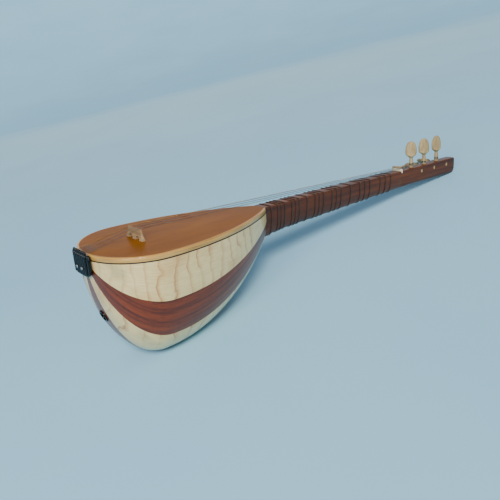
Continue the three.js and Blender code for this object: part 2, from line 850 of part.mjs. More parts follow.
addPiece('tail_block', makeTailBlock(), 'insideWood');
addPiece('neck_block', makeNeckBlock(), 'insideWood');
addPiece('lining_right', makeLining(-1), 'insideWood');
addPiece('lining_left', makeLining(1), 'insideWood');
brace.places.forEach((share, i) => {
  addPiece(`soundboard_brace_${i + 1}`, makeBrace(share), 'insideWood');
});
addPiece('soundboard', makeSoundboard(), 'soundboardWood');
addPiece('edge_binding', rimStrip(wholeRim(), 0, bindingWidth, 0, -bindingHeight), 'bindingWood');
const purflingTop = -bindingHeight - gap;
const purfling = rimStrip(wholeRim(), 0, bindingWidth, purflingTop, purflingTop - purflingHeight);
addPiece('edge_purfling', purfling, 'darkStrip');

addPiece('neck_joint_veneer', makeVeneer(), 'darkStrip');
addPiece('neck', makeNeck(), 'neckWood');
addPiece('headstock', makeHeadstock(), 'neckWood');
addPiece('nut', makeNut(), 'bone');
fretSteps.forEach((step, i) => {
  addPiece(`fret_${String(i + 1).padStart(2, '0')}`, makeFret(fretPlace(step)), 'nylon');
});
addPegs();

addPiece('bridge', makeBridge(), 'bridgeWood');
addPiece('tailpiece', makeTailpiece(), 'blackPlastic');
screwPlaces().forEach((y, i) => addPiece(`tailpiece_screw_${i + 1}`, makeTailScrew(y), 'screwSteel'));
addStrings();

// Lay the instrument on its back: the ground line runs from the head's heel to the belly.
const groundX = headEnd - headTip.length;
const tilts = bowlStations.map((x) => Math.atan2(depthAt(x) - headDepth, groundX - x));
instrument.rotation.y = Math.max(...tilts);

// The origin is under the middle of the whole instrument, on the ground.
const laid = new THREE.Group();
laid.add(instrument);
laid.updateMatrixWorld(true);
const extent = new THREE.Box3().setFromObject(laid, true);
const middle = extent.getCenter(new THREE.Vector3());
instrument.position.set(-middle.x, -middle.y, -extent.min.z);

export default laid;
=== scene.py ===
import functools
import json
import math

import bmesh
import bpy
import numpy as np
from mathutils import Matrix, Vector


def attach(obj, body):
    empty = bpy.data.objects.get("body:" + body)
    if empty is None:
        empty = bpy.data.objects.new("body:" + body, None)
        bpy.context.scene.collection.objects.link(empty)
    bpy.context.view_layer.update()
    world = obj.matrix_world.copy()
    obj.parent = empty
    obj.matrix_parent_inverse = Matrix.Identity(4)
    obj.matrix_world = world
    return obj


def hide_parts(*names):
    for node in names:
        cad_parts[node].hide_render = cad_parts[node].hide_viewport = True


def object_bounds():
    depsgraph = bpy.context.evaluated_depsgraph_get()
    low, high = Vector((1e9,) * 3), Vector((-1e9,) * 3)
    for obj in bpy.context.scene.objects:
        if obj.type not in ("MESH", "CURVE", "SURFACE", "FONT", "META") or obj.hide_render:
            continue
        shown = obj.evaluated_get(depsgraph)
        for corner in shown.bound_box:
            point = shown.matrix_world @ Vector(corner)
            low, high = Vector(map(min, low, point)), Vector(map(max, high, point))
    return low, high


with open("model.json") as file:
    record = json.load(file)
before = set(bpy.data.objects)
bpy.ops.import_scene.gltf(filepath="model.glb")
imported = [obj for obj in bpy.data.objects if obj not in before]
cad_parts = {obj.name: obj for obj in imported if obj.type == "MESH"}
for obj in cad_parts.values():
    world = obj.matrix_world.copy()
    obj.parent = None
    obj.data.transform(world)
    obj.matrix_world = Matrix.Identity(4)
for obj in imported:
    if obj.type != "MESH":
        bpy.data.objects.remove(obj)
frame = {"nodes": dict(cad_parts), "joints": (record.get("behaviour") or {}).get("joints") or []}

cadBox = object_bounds()
mm = 0.001

# The instrument lies on its back and leans down towards its head. Every piece is drawn in the
# instrument's own frame, in millimetres (x to the head, y across, z out of the soundboard, and
# z = 0 on the soundboard), and toWorld lays it down where the frame has it.
joints = {joint["name"]: joint for joint in frame["joints"]}
axes = np.array([joints["bridge_shift"]["axis"], [0.0, 1.0, 0.0], joints["front_peg_1_turn"]["axis"]])


def nodePoints(name):
    mesh = frame["nodes"][name].data
    points = np.zeros(len(mesh.vertices) * 3)
    mesh.vertices.foreach_get("co", points)
    return points.reshape(-1, 3)


rimPoints = nodePoints("edge_binding") @ axes.T
origin = rimPoints[:, 0].min() * axes[0] + rimPoints[:, 2].max() * axes[2]


def toWorld(points):
    return origin + (points.reshape(-1, 3) * mm) @ axes


def toOwn(points):
    return (np.atleast_2d(points) - origin) @ axes.T / mm


def ownBox(name):
    points = toOwn(nodePoints(name))
    return points.min(0), points.max(0)


def fromHex(code):
    # sRGB hex to linear colour
    parts = np.array([int(code[i : i + 2], 16) / 255 for i in (1, 3, 5)])
    linear = np.where(parts <= 0.04045, parts / 12.92, ((parts + 0.055) / 1.055) ** 2.4)
    return (*[float(part) for part in linear], 1.0)


def addNode(material, kind, inputs=None, stops=(), ease="LINEAR", **settings):
    # one node with its settings: an input takes a value, a socket, or a node for its first output,
    # and stops are the places and colours of a colour ramp
    tree = material.node_tree
    made = tree.nodes.new("ShaderNode" + kind)
    for key, value in settings.items():
        setattr(made, key, value)
    for socket, source in (inputs or {}).items():
        if isinstance(source, bpy.types.Node):
            source = source.outputs[0]
        if isinstance(source, bpy.types.NodeSocket):
            tree.links.new(source, made.inputs[socket])
        else:
            made.inputs[socket].default_value = source
    if stops:
        band = made.color_ramp
        band.interpolation = ease
        while len(band.elements) < len(stops):
            band.elements.new(0.5)
        for element, (place, code) in zip(band.elements, stops):
            element.position = place
            element.color = fromHex(code)
    return made


def newMaterial(name):
    # an empty material, and addNode bound to it
    material = bpy.data.materials.new(name)
    material.use_nodes = True
    material.node_tree.nodes.clear()
    return material, functools.partial(addNode, material)


def closeMaterial(material, inputs, height=None, strength=0.1, depth=0.2):
    # the shader and its output; height is fine relief, depth millimetres deep at full strength
    if height is not None:
        inputs["Normal"] = addNode(material, "Bump",
                                   {"Strength": strength, "Distance": depth * mm, "Height": height})
    addNode(material, "OutputMaterial", {"Surface": addNode(material, "BsdfPrincipled", inputs)})
    return material


# Every wood reads the piece's own "grain" attribute: x runs with the fibres, in metres.
def grainPlace(add, *stretch):
    place = add("Attribute", attribute_name="grain", attribute_type="GEOMETRY")
    return add("VectorMath", {0: place.outputs["Vector"], 1: stretch}, operation="MULTIPLY")


def addFibres(add, base, stretch, perMetre, detail, rough, tones, amount):
    # fine fibres or pores that darken a base colour: gives the colour and the fibres' own noise;
    # tones are where the dark ends, its colour, and where the clear wood begins
    fibres = add("TexNoise", {"Vector": grainPlace(add, stretch, 1, 1), "Scale": perMetre,
                              "Detail": detail, "Roughness": rough})
    low, dark, high = tones
    shade = add("ValToRGB", {"Fac": fibres}, [(low, dark), (high, "#ffffff")])
    darkened = add("Mix", {"Factor": amount, 6: base, 7: shade}, data_type="RGBA", blend_type="MULTIPLY")
    return darkened.outputs[2], fibres


ash = dict(ringSpacing=17.0, fibreWidth=0.7, cream="#dcc68c", tan="#a56a2c", blush="#c79f65", olive="#b7a878")


def makeLacqueredAsh():
    # Flat-sawn ash, bent, sanded and sprayed with gloss lacquer: wide faint rings that close in
    # loops across the stave, fine fibres along it, and a wet-looking clear top coat.
    cream, tan, blush = ash["cream"], ash["tan"], ash["blush"]
    material, add = newMaterial("lacquered flat-sawn ash")
    slow = add("TexNoise", {"Vector": grainPlace(add, 1, 1, 1), "Scale": 14, "Detail": 3, "Roughness": 0.55})
    bend = add("VectorMath", {0: slow.outputs["Color"], 1: (0.5, 0.5, 0.5)}, operation="SUBTRACT")
    warp = add("VectorMath", {0: bend, "Scale": 0.055}, operation="SCALE")
    log = add("VectorMath", {0: grainPlace(add, 1, 0.35, 1), 1: warp}, operation="ADD")
    middle = add("VectorMath", {0: log, 1: (-0.32, 0.02, 0.012)}, operation="ADD")
    reach = add("VectorMath", {0: middle}, operation="LENGTH")
    turns = add("Math", {0: reach.outputs["Value"], 1: 1000 / ash["ringSpacing"]}, operation="MULTIPLY")
    ring = add("Math", {0: turns}, operation="FRACT")
    ringColour = add("ValToRGB", {"Fac": ring},
                     [(0.0, tan), (0.07, blush), (0.3, cream), (0.9, cream), (1.0, tan)], "EASE")
    patch = add("TexNoise", {"Vector": grainPlace(add, 0.6, 1, 1), "Scale": 22, "Detail": 2})
    patchColour = add("ValToRGB", {"Fac": patch}, [(0.3, ash["olive"]), (0.48, cream), (0.72, blush)], "EASE")
    fade = add("MapRange", {"Value": slow, "From Min": 0.42, "From Max": 0.6, "To Min": 0.15, "To Max": 0.85})
    both = add("Mix", {"Factor": fade, 6: patchColour, 7: ringColour}, data_type="RGBA")
    colour, fibres = addFibres(add, both.outputs[2], 0.035, 1000 / ash["fibreWidth"], 4, 0.6,
                               (0.25, "#d9c9ad", 0.6), 0.75)
    return closeMaterial(material, {"Base Color": colour, "Roughness": 0.42, "Coat Weight": 0.6,
                                    "Coat Roughness": 0.04, "Coat IOR": 1.5}, fibres, 0.06)


def makeLacqueredMahogany():
    # Mahogany staves under the same gloss lacquer: red-brown, ribbon streaks along the stave and
    # short dark pores that read as fine dashes.
    material, add = newMaterial("lacquered mahogany")
    ribbon = add("TexNoise", {"Vector": grainPlace(add, 0.05, 1, 1), "Scale": 160, "Detail": 4,
                              "Roughness": 0.55, "Distortion": 0.3})
    base = add("ValToRGB", {"Fac": ribbon},
               [(0.28, "#3b1403"), (0.46, "#5f2405"), (0.62, "#732f07"), (0.8, "#8a3d0b")])
    colour, pores = addFibres(add, base, 0.06, 1400, 1, 0.5, (0.3, "#8a6a58", 0.4), 0.8)
    return closeMaterial(material, {"Base Color": colour, "Roughness": 0.4, "Specular IOR Level": 0.35,
                                    "Coat Weight": 0.35, "Coat Roughness": 0.05, "Coat IOR": 1.5},
                         pores, 0.08)


def makeAmberSpruce():
    # Quarter-sawn spruce under amber-tinted satin lacquer: straight dark late-wood lines about 1.8 mm
    # apart that follow the strings, with slow warm and dull patches.
    material, add = newMaterial("amber lacquered spruce")
    wander = add("TexNoise", {"Vector": grainPlace(add, 0.25, 1, 1), "Scale": 18, "Detail": 2})
    drift = add("Math", {0: wander, 1: 0.012}, operation="MULTIPLY")
    place = add("SeparateXYZ", {"Vector": grainPlace(add, 1, 1, 1)})
    across = add("Math", {0: place.outputs["Y"], 1: drift}, operation="ADD")
    lines = add("Math", {0: across, 1: 1000 / 1.8}, operation="MULTIPLY")
    line = add("Math", {0: lines}, operation="FRACT")
    lineColour = add("ValToRGB", {"Fac": line},
                     [(0.0, "#603703"), (0.25, "#965a04"), (0.75, "#8d5404"), (1.0, "#603703")], "EASE")
    patch = add("TexNoise", {"Vector": grainPlace(add, 0.3, 1, 1), "Scale": 30, "Detail": 3})
    patchColour = add("ValToRGB", {"Fac": patch}, [(0.3, "#643a02"), (0.5, "#824e04"), (0.72, "#996008")])
    both = add("Mix", {"Factor": 0.55, 6: patchColour, 7: lineColour}, data_type="RGBA")
    colour, _ = addFibres(add, both.outputs[2], 0.02, 1600, 3, 0.5, (0.3, "#c9b29a", 0.62), 0.7)
    return closeMaterial(material, {"Base Color": colour, "Roughness": 0.42, "Specular IOR Level": 0.12},
                         line, 0.08, 0.3)


def makeStraightWood(name, tones, fibreWidth, roughness, coat, relief=0.1):
    # Straight-grained wood, planed and sanded: long fibres in three tones and fine pore lines.
    # coat is the lacquer over it, 0 on bare wood.
    material, add = newMaterial(name)
    streak = add("TexNoise", {"Vector": grainPlace(add, 0.04, 1, 1), "Scale": 120 / fibreWidth,
                              "Detail": 5, "Roughness": 0.6, "Distortion": 0.2})
    base = add("ValToRGB", {"Fac": streak}, list(zip((0.3, 0.5, 0.72), tones)))
    colour, fibres = addFibres(add, base, 0.03, 1000 / fibreWidth, 3, 0.5, (0.3, "#a89484", 0.56), 0.7)
    dull = add("MapRange", {"Value": streak, "To Min": roughness - 0.07, "To Max": roughness + 0.1})
    return closeMaterial(material, {"Base Color": colour, "Roughness": dull, "Specular IOR Level": 0.3,
                                    "Coat Weight": coat, "Coat Roughness": 0.12, "Coat IOR": 1.5},
                         fibres, relief)


def makeBareSpruce():
    # Rough-sawn spruce inside the bowl, left bare: pale, dry, with plain growth lines.
    material, add = newMaterial("bare sawn spruce")
    place = add("TexCoord").outputs["Object"]
    noise = add("TexNoise", {"Vector": place, "Scale": 240, "Detail": 4})
    colour = add("ValToRGB", {"Fac": noise}, [(0.3, "#a98656"), (0.7, "#d2b684")])
    return closeMaterial(material, {"Base Color": colour, "Roughness": 0.75}, noise, 0.3, 0.3)


def makeMouldedBlack():
    # Injection-moulded black ABS: deep black, glossy, with slight waviness and a little dust.
    material, add = newMaterial("moulded black ABS")
    place = add("TexCoord").outputs["Object"]
    dust = add("TexNoise", {"Vector": place, "Scale": 900, "Detail": 4, "Roughness": 0.7})
    colour = add("ValToRGB", {"Fac": dust}, [(0.5, "#050506"), (0.8, "#161618")])
    gloss = add("MapRange", {"Value": dust, "To Min": 0.05, "To Max": 0.22})
    wave = add("TexNoise", {"Vector": place, "Scale": 180})
    return closeMaterial(material, {"Base Color": colour, "Roughness": gloss, "Specular IOR Level": 0.35},
                         wave, 0.12, 0.3)


def makeBone():
    # Sawn and polished bone: warm white with faint grey-brown pores along it.
    material, add = newMaterial("polished bone")
    pores = add("TexNoise", {"Vector": grainPlace(add, 1, 0.15, 1), "Scale": 1500, "Detail": 2})
    colour = add("ValToRGB", {"Fac": pores}, [(0.3, "#b9ab8c"), (0.45, "#e2d9c0"), (0.8, "#efe8d6")])
    return closeMaterial(material, {"Base Color": colour, "Roughness": 0.35, "Subsurface Weight": 0.15,
                                    "Subsurface Radius": (0.002, 0.001, 0.0006), "Subsurface Scale": 0.5})


def makeNylonLine():
    # Brown nylon line, drawn and tied tight: dark, slightly clear, with a long soft shine.
    material, add = newMaterial("drawn brown nylon")
    tone = add("TexNoise", {"Vector": grainPlace(add, 1, 1, 1), "Scale": 350, "Detail": 3})
    colour = add("ValToRGB", {"Fac": tone}, [(0.3, "#1a0f0a"), (0.7, "#3d271a")])
    return closeMaterial(material, {"Base Color": colour, "Roughness": 0.28, "IOR": 1.53,
                                    "Specular IOR Level": 0.6})


def makeDrawnWire(name, dark, light, spacing, strength):
    # Drawn wire: bright metal, with rings across it where it is wound with a finer wire.
    material, add = newMaterial(name)
    place = add("SeparateXYZ", {"Vector": grainPlace(add, 1, 1, 1)})
    along = add("Math", {0: place.outputs["X"], 1: 2000 * math.pi / spacing}, operation="MULTIPLY")
    wave = add("Math", {0: along}, operation="SINE")
    stain = add("TexNoise", {"Vector": grainPlace(add, 0.3, 1, 1), "Scale": 220, "Detail": 4})
    colour = add("ValToRGB", {"Fac": stain}, [(0.3, dark), (0.65, light)])
    rough = add("MapRange", {"Value": stain, "To Min": 0.2, "To Max": 0.42})
    return closeMaterial(material, {"Base Color": colour, "Metallic": 1.0, "Roughness": rough},
                         wave, strength, 0.1)


print("stage: materials")
finishes = {
    "paleRib": (makeLacqueredAsh(), "pale_rib"),
    "brownRib": (makeLacqueredMahogany(), "brown_rib"),
    "soundboard": (makeAmberSpruce(), "soundboard"),
    "binding": (makeStraightWood("lacquered boxwood strip", ("#a4762c", "#bf9147", "#d0a960"),
                                 1.2, 0.4, 0.6, 0.05), "binding"),
    "darkStrip": (makeStraightWood("dyed black veneer", ("#120b07", "#21140d", "#33221a"),
                                   0.8, 0.5, 0.4), "dark_strip"),
    "inside": (makeBareSpruce(), "inside_wood"),
    "neck": (makeStraightWood("stained beech neck", ("#2c1203", "#4c2206", "#6a360b"),
                              1.1, 0.42, 0.15), "neck_wood"),
    "peg": (makeStraightWood("turned bare hornbeam", ("#8f7c58", "#a8946b", "#bba880"),
                             0.8, 0.6, 0.0, 0.2), "peg_wood"),
    "bridge": (makeStraightWood("sanded bare maple", ("#84694a", "#9c8260", "#b39a77"),
                                0.8, 0.58, 0.0, 0.2), "bridge_wood"),
    "black": (makeMouldedBlack(), "black_plastic"),
    "nut": (makeBone(), "nut"),
    "nylon": (makeNylonLine(), "fret_nylon"),
    "steel": (makeDrawnWire("drawn steel wire", "#55575a", "#8f9296", 1.5, 0.05), "string_steel"),
    "wound": (makeDrawnWire("bronze-wound wire", "#8a6a3c", "#c39c5c", 0.5, 0.8), "string_steel"),
    "screw": (makeDrawnWire("nickel-plated steel", "#7d7f83", "#b4b6ba", 0.6, 0.15), "screw_steel"),
}


def addObject(name, data):
    made = bpy.data.objects.new(name, data)
    bpy.context.scene.collection.objects.link(made)
    return made


def makePiece(name, points, finish, grain=None, faces=None, body="body", replaced=(), cutters=(),
              bevel=0.0, sharp=40.0):
    # points and grain are millimetres in the instrument's frame; grain is points unless it is given,
    # and without faces the points are rings to be joined up
    mesh = bpy.data.meshes.new(name)
    mesh.from_pydata(toWorld(points).tolist(), [], faces or loopFaces(*points.shape[:2]))
    grain = points if grain is None else grain
    attribute = mesh.attributes.new("grain", "FLOAT_VECTOR", "POINT")
    attribute.data.foreach_set("vector", (grain.reshape(-1, 3) * mm).ravel())
    work = bmesh.new()
    work.from_mesh(mesh)
    bmesh.ops.recalc_face_normals(work, faces=work.faces)
    work.to_mesh(mesh)
    work.free()
    mesh.shade_smooth()
    mesh.set_sharp_from_angle(angle=math.radians(sharp))
    piece = addObject(name, mesh)
    material, slotName = finishes[finish]
    mesh.materials.append(material)
    if cutters:
        cutOut(piece, cutters)
    if bevel:
        modifier = piece.modifiers.new("eased edges", "BEVEL")
        modifier.width = bevel * mm
        modifier.segments = 2
        modifier.limit_method = "ANGLE"
        modifier.angle_limit = math.radians(50)
    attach(piece, body)
    if replaced:
        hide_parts(*replaced)


def loopFaces(rows, count, closed=False):
    # quads between rings of equal count; an open run of rings gets a flat face at each end
    row = np.arange(rows if closed else rows - 1)[:, None]
    column = np.arange(count)[None, :]
    following = (column + 1) % count
    ahead = (row + 1) % rows
    quads = np.stack([row * count + column, row * count + following,
                      ahead * count + following, ahead * count + column], -1)
    faces = quads.reshape(-1, 4).tolist()
    if not closed:
        faces.append(list(range(count)))
        faces.append(list(range((rows - 1) * count, rows * count))[::-1])
    return faces


def slabFaces(rows, count):
    # two facing grids, the second stored after the first, closed round their border
    row = np.arange(rows - 1)[:, None]
    column = np.arange(count - 1)[None, :]
    here = row * count + column
    quads = np.stack([here, here + 1, here + count + 1, here + count], -1).reshape(-1, 4)
    under = rows * count
    border = np.concatenate([
        np.arange(count - 1),
        np.arange(rows - 1) * count + count - 1,
        (rows - 1) * count + np.arange(count - 1, 0, -1),
        np.arange(rows - 1, 0, -1) * count,
    ])
    following = np.roll(border, -1)
    sides = np.stack([border, border + under, following + under, following], -1)
    return quads.tolist() + (quads[:, ::-1] + under).tolist() + sides.tolist()


def grid(x, y, z):
    # points from three arrays that stretch to one shape
    return np.stack(np.broadcast_arrays(x, y, z), -1)


def fullTurn(sides):
    return np.linspace(0, 2 * math.pi, sides, endpoint=False)


def eased(share):
    # 0 to 1 with a level start and end
    return share * share * (3 - 2 * share)


def sweep(path, normals, binormals, profile):
    # a flat profile (normal, binormal) carried along a path: rings of points
    return (path[:, None, :] + normals[:, None, :] * profile[None, :, 0:1]
            + binormals[:, None, :] * profile[None, :, 1:2])


def circle(radius, sides):
    return np.stack([np.cos(fullTurn(sides)), np.sin(fullTurn(sides))], -1) * radius


def unit(vectors):
    return vectors / np.linalg.norm(vectors, axis=-1, keepdims=True)


def smoothThrough(knots, values, at):
    # cubic curve through the knots, each slope taken from its two neighbours
    knots, values = np.array(knots, float), np.array(values, float)
    slopes = np.gradient(values, knots)
    i = np.clip(np.searchsorted(knots, at, side="right") - 1, 0, len(knots) - 2)
    span = knots[i + 1] - knots[i]
    t = (at - knots[i]) / span
    return ((2 * t**3 - 3 * t**2 + 1) * values[i] + (t**3 - 2 * t**2 + t) * span * slopes[i]
            + (3 * t**2 - 2 * t**3) * values[i + 1] + (t**3 - t**2) * span * slopes[i + 1])


def pathLength(path):
    steps = np.linalg.norm(np.diff(path, axis=0), axis=-1)
    return np.concatenate([[0.0], np.cumsum(steps)])


bindingLow, bindingHigh = ownBox("edge_binding")
headLow, headHigh = ownBox("headstock")
bodyLength = bindingHigh[0]
nutStart = headLow[0]
headEnd = headHigh[0]

bowl = dict(width=bindingHigh[1] - bindingLow[1], depth=-ownBox("rib_4")[0][2], widestAt=75.0,
            widthTaper=0.92, depthTaper=1.02, sectionPower=2.4, jointWidth=27.0, jointDepth=47.0,
            rimDrop=7.8, thickness=3.0, tailCut=1.0, ribs=7, seam=0.04, tailRows=24, foreRows=46,
            columnsPerRib=10, boardStep=83.0, boardDepth=31.0)


def swell(x, middle, atJoint, taper):
    # quarter ellipse up to the widest place, then a long taper to the neck joint
    back = np.clip((bowl["widestAt"] - x) / bowl["widestAt"], 0, 1)
    on = np.clip((x - bowl["widestAt"]) / (bodyLength - bowl["widestAt"]), 0, 1)
    return np.where(x < bowl["widestAt"], middle * np.sqrt(1 - back**2),
                    atJoint + (middle - atJoint) * (1 - on**2) ** taper)


def halfWidth(x):
    return swell(x, bowl["width"] / 2, bowl["jointWidth"] / 2, bowl["widthTaper"])


def bowlDepth(x):
    return swell(x, bowl["depth"], bowl["jointDepth"], bowl["depthTaper"])


def ovalSection(half, depth, angle, power):
    # |y/half|^power + |z/depth|^power = 1, walked from the +y edge to the -y edge
    c, s = np.cos(angle), np.sin(angle)
    return half * np.sign(c) * np.abs(c) ** (2 / power), -depth * np.abs(s) ** (2 / power)


def tailSpacing(start, tailRows, foreRows):
    # places along the body, closer together where the tail turns
    angle = np.linspace(math.acos(1 - start / bowl["widestAt"]), math.pi / 2, tailRows + 1)
    tail = bowl["widestAt"] * (1 - np.cos(angle))
    return np.concatenate([tail, np.linspace(bowl["widestAt"], bodyLength, foreRows + 1)[1:]])


def bowlGrid(rows, shares):
    # each row is one cross-section, with its points set at equal shares of its own length
    angle = np.linspace(0, math.pi, 721)
    y, z = ovalSection(halfWidth(rows)[:, None], (bowlDepth(rows) - bowl["rimDrop"])[:, None],
                       angle[None, :], bowl["sectionPower"])
    run = np.concatenate([np.zeros((len(rows), 1)),
                          np.cumsum(np.hypot(np.diff(y), np.diff(z)), axis=1)], 1)
    points = np.zeros((len(rows), len(shares), 3))
    for i, length in enumerate(run[:, -1]):
        wanted = shares * length
        points[i] = grid(rows[i], np.interp(wanted, run[i], y[i]),
                         np.interp(wanted, run[i], z[i]) - bowl["rimDrop"])
    return points, run[:, -1]


def makeRibs():
    # The seven staves share one smooth bowl: its grid is worked out once, with its normals, and
    # each stave takes its own columns and is closed with an inner face a stave's thickness in.
    rows = tailSpacing(bowl["tailCut"], bowl["tailRows"], bowl["foreRows"])
    perRib = bowl["columnsPerRib"]
    count = bowl["ribs"] * perRib
    shares = np.linspace(0, 1, count + 1)
    points, lengths = bowlGrid(rows, shares)
    normals = unit(np.cross(np.gradient(points, axis=1), np.gradient(points, axis=0)))
    outside = points * np.array([0, 1, 1]) + np.array([0, 0, bowl["rimDrop"]])
    normals *= np.sign((normals * outside).sum(-1).mean())
    along = pathLength(points[:, count // 2])
    for rib in range(bowl["ribs"]):
        part = slice(rib * perRib, (rib + 1) * perRib + 1)
        outer = points[:, part].copy()
        tangent = unit(np.gradient(outer, axis=1))
        outer[:, 0] += tangent[:, 0] * bowl["seam"]
        outer[:, -1] -= tangent[:, -1] * bowl["seam"]
        inner = outer - normals[:, part] * bowl["thickness"]
        across = (shares[part][None, :] - shares[part].mean()) * lengths[:, None]
        # each stave is cut from another place in the log
        place = grid(along[:, None] + bowl["boardStep"] * rib, across, bowl["boardDepth"] * rib)
        grain = np.concatenate([place, place + np.array([0, 0, bowl["thickness"]])])
        cut = [soundHoleRod()] if rib == bowl["ribs"] // 2 else []
        makePiece(f"bent_stave_{rib + 1}", np.concatenate([outer, inner]),
                  "brownRib" if rib % 2 else "paleRib", grain, slabFaces(len(rows), perRib + 1),
                  replaced=[f"rib_{rib + 1}"], cutters=cut, bevel=0.12, sharp=50)


def joined(shapes):
    # several closed shapes, each given by its points and faces, as one
    points, faces = [], []
    for shapePoints, shapeFaces in shapes:
        start = sum(len(part) for part in points)
        points.append(shapePoints.reshape(-1, 3))
        faces += [[index + start for index in face] for face in shapeFaces]
    return np.concatenate(points), faces


def cutOut(piece, cutters):
    # cuts closed shapes out of a piece and keeps the result as its mesh
    points, faces = joined(cutters)
    mesh = bpy.data.meshes.new("cutter")
    mesh.from_pydata(toWorld(points).tolist(), [], faces)
    cutter = addObject("cutter", mesh)
    modifier = piece.modifiers.new("cut", "BOOLEAN")
    modifier.operation = "DIFFERENCE"
    modifier.solver = "EXACT"
    modifier.object = cutter
    bpy.context.view_layer.update()
    done = bpy.data.meshes.new_from_object(piece.evaluated_get(bpy.context.evaluated_depsgraph_get()))
    piece.modifiers.remove(modifier)
    done.shade_smooth()
    done.set_sharp_from_angle(angle=math.radians(35))
    old = piece.data
    piece.data = done
    bpy.data.objects.remove(cutter)
    bpy.data.meshes.remove(mesh)
    bpy.data.meshes.remove(old)


def rodShape(start, end, radius, endRadius=None, sides=48):
    # a round rod between two points, straight or tapered, for cutting
    start, end = np.array(start, float), np.array(end, float)
    axis = unit(end - start)
    aside = unit(np.cross(axis, [0.3, 0.5, 0.8]))
    up = np.cross(axis, aside)
    turn = fullTurn(sides)[:, None]
    ring = np.cos(turn) * aside + np.sin(turn) * up
    return np.concatenate([start + ring * radius, end + ring * (endRadius or radius)]), loopFaces(2, sides)


soundHole = dict(bore=6.0, wall=2.0, lip=0.9, lipReach=0.35, length=5.0, sides=64, cutReach=14)
ringPoints = toOwn(nodePoints("sound_hole_ring"))
holeMiddle = (ringPoints.min(0) + ringPoints.max(0)) / 2
# the ring's own axis, pointing out at the tail: the direction in which its points spread least
holeAxis = np.linalg.svd(ringPoints - ringPoints.mean(0))[2][2]
holeAxis = -holeAxis * np.sign(holeAxis[0])


def soundHoleRod():
    reach = holeAxis * soundHole["cutReach"]
    return rodShape(holeMiddle - reach, holeMiddle + reach, soundHole["bore"] + soundHole["wall"])


def makeSoundHoleRing():
    # a moulded ring: a round-lipped profile (reach from the axis, height along it), turned once
    bore, outer = soundHole["bore"], soundHole["bore"] + soundHole["wall"] - 0.05
    half = soundHole["length"] / 2
    lip = np.linspace(math.pi, 0, 9)
    middle = (bore + outer) / 2 + soundHole["lipReach"]
    reach = (outer - bore) / 2 + soundHole["lipReach"]
    top = np.stack([middle + reach * np.cos(lip), half - 0.2 + soundHole["lip"] * np.sin(lip)], -1)
    profile = np.concatenate([[[bore, -half]], top, [[outer, half - 0.5], [outer, -half]]])
    sides = soundHole["sides"]
    turn = fullTurn(sides)[:, None]
    aside = unit(np.cross(holeAxis, [0.0, 1.0, 0.0]))
    radial = np.cos(turn) * aside + np.sin(turn) * np.cross(holeAxis, aside)
    rings = sweep(np.tile(holeMiddle, (sides, 1)), radial, np.tile(holeAxis, (sides, 1)), profile)
    makePiece("moulded_hole_ring", rings, "black", faces=loopFaces(sides, len(profile), closed=True),
              replaced=["sound_hole_ring"], sharp=60)


rim = dict(bindingWidth=3.0, bindingHeight=6.0, rounding=2.1, purflingHeight=1.5, sunk=0.12,
           tailRows=40, foreRows=80, topThickness=3.0, topSunk=0.03, topColumns=33)


def rimCurve(rows, inset):
    # the body's outline moved in: square to the curve at the tail, and square to y further on,
    # so that every strip ends flat against the neck joint
    y = halfWidth(rows)
    ellipse = unit(np.stack([(rows - bowl["widestAt"]) / bowl["widestAt"] ** 2,
                             y / (bowl["width"] / 2) ** 2], -1))
    slope = np.gradient(y, rows)
    tail = rows < bowl["widestAt"]
    return (np.where(tail, rows - inset * ellipse[:, 0], rows),
            np.where(tail, y - inset * ellipse[:, 1], y - inset * np.hypot(1, slope)))


def makeRimStrip(name, profile, finish, replaced):
    # a small closed profile (inset, height) carried round the whole edge of the soundboard
    rows = tailSpacing(0.0, rim["tailRows"], rim["foreRows"])
    rings = []
    for inset, height in profile:
        x, y = rimCurve(rows, inset)
        rings.append(grid(np.concatenate([x[::-1], x[1:]]), np.concatenate([-y[::-1], y[1:]]), height))
    points = np.stack(rings, 1)
    grain = grid(pathLength(points[:, 0])[:, None], *np.array(profile).T)
    makePiece(name, points, finish, grain, replaced=replaced, sharp=55)


def makeBinding():
    # the pale strip is rounded over on its outer edge
    r, high, wide = rim["rounding"], rim["bindingHeight"], rim["bindingWidth"]
    turn = np.linspace(math.pi / 2, 0, 9)
    corner = np.stack([r - r * np.cos(turn), -r + r * np.sin(turn)], -1)
    foot = np.array([[0.05, -high - 0.05], [0.25, -high - 0.25], [wide, -high - 0.25], [wide, 0.0]])
    makeRimStrip("edge_strip", np.concatenate([corner, foot]).tolist(), "binding", ["edge_binding"])


def makePurfling():
    top = -rim["bindingHeight"] - 0.25
    low = top - rim["purflingHeight"]
    profile = [[rim["sunk"], top], [rim["sunk"], low], [rim["bindingWidth"], low], [rim["bindingWidth"], top]]
    makeRimStrip("dark_line_strip", profile, "darkStrip", ["edge_purfling"])


def makeSoundboard():
    # the flat top: rows across the body between the binding's two inner edges
    rows = tailSpacing(0.0, rim["tailRows"], rim["foreRows"])
    x, y = rimCurve(rows, rim["bindingWidth"] + 0.02)
    x, y = x[1:, None], y[1:, None]
    face = grid(x, y * np.linspace(-1, 1, rim["topColumns"]), -rim["topSunk"])
    points = np.concatenate([face, face - np.array([0, 0, rim["topThickness"]])])
    makePiece("jointed_top", points, "soundboard", faces=slabFaces(len(x), rim["topColumns"]),
              replaced=["soundboard"], bevel=0.12)


neck = dict(veneer=1.6, veneerEase=0.6, jointWidth=27.0, nutWidth=21.0, heelLength=40.0,
            heelDrop=4.0, depthAtNut=30.0, ease=0.9, backPoints=44, rows=60)
neckStart = bodyLength + neck["veneer"]


def neckHalf(x):
    return (neck["jointWidth"] + (neck["nutWidth"] - neck["jointWidth"])
            * (x - neckStart) / (nutStart - neckStart)) / 2


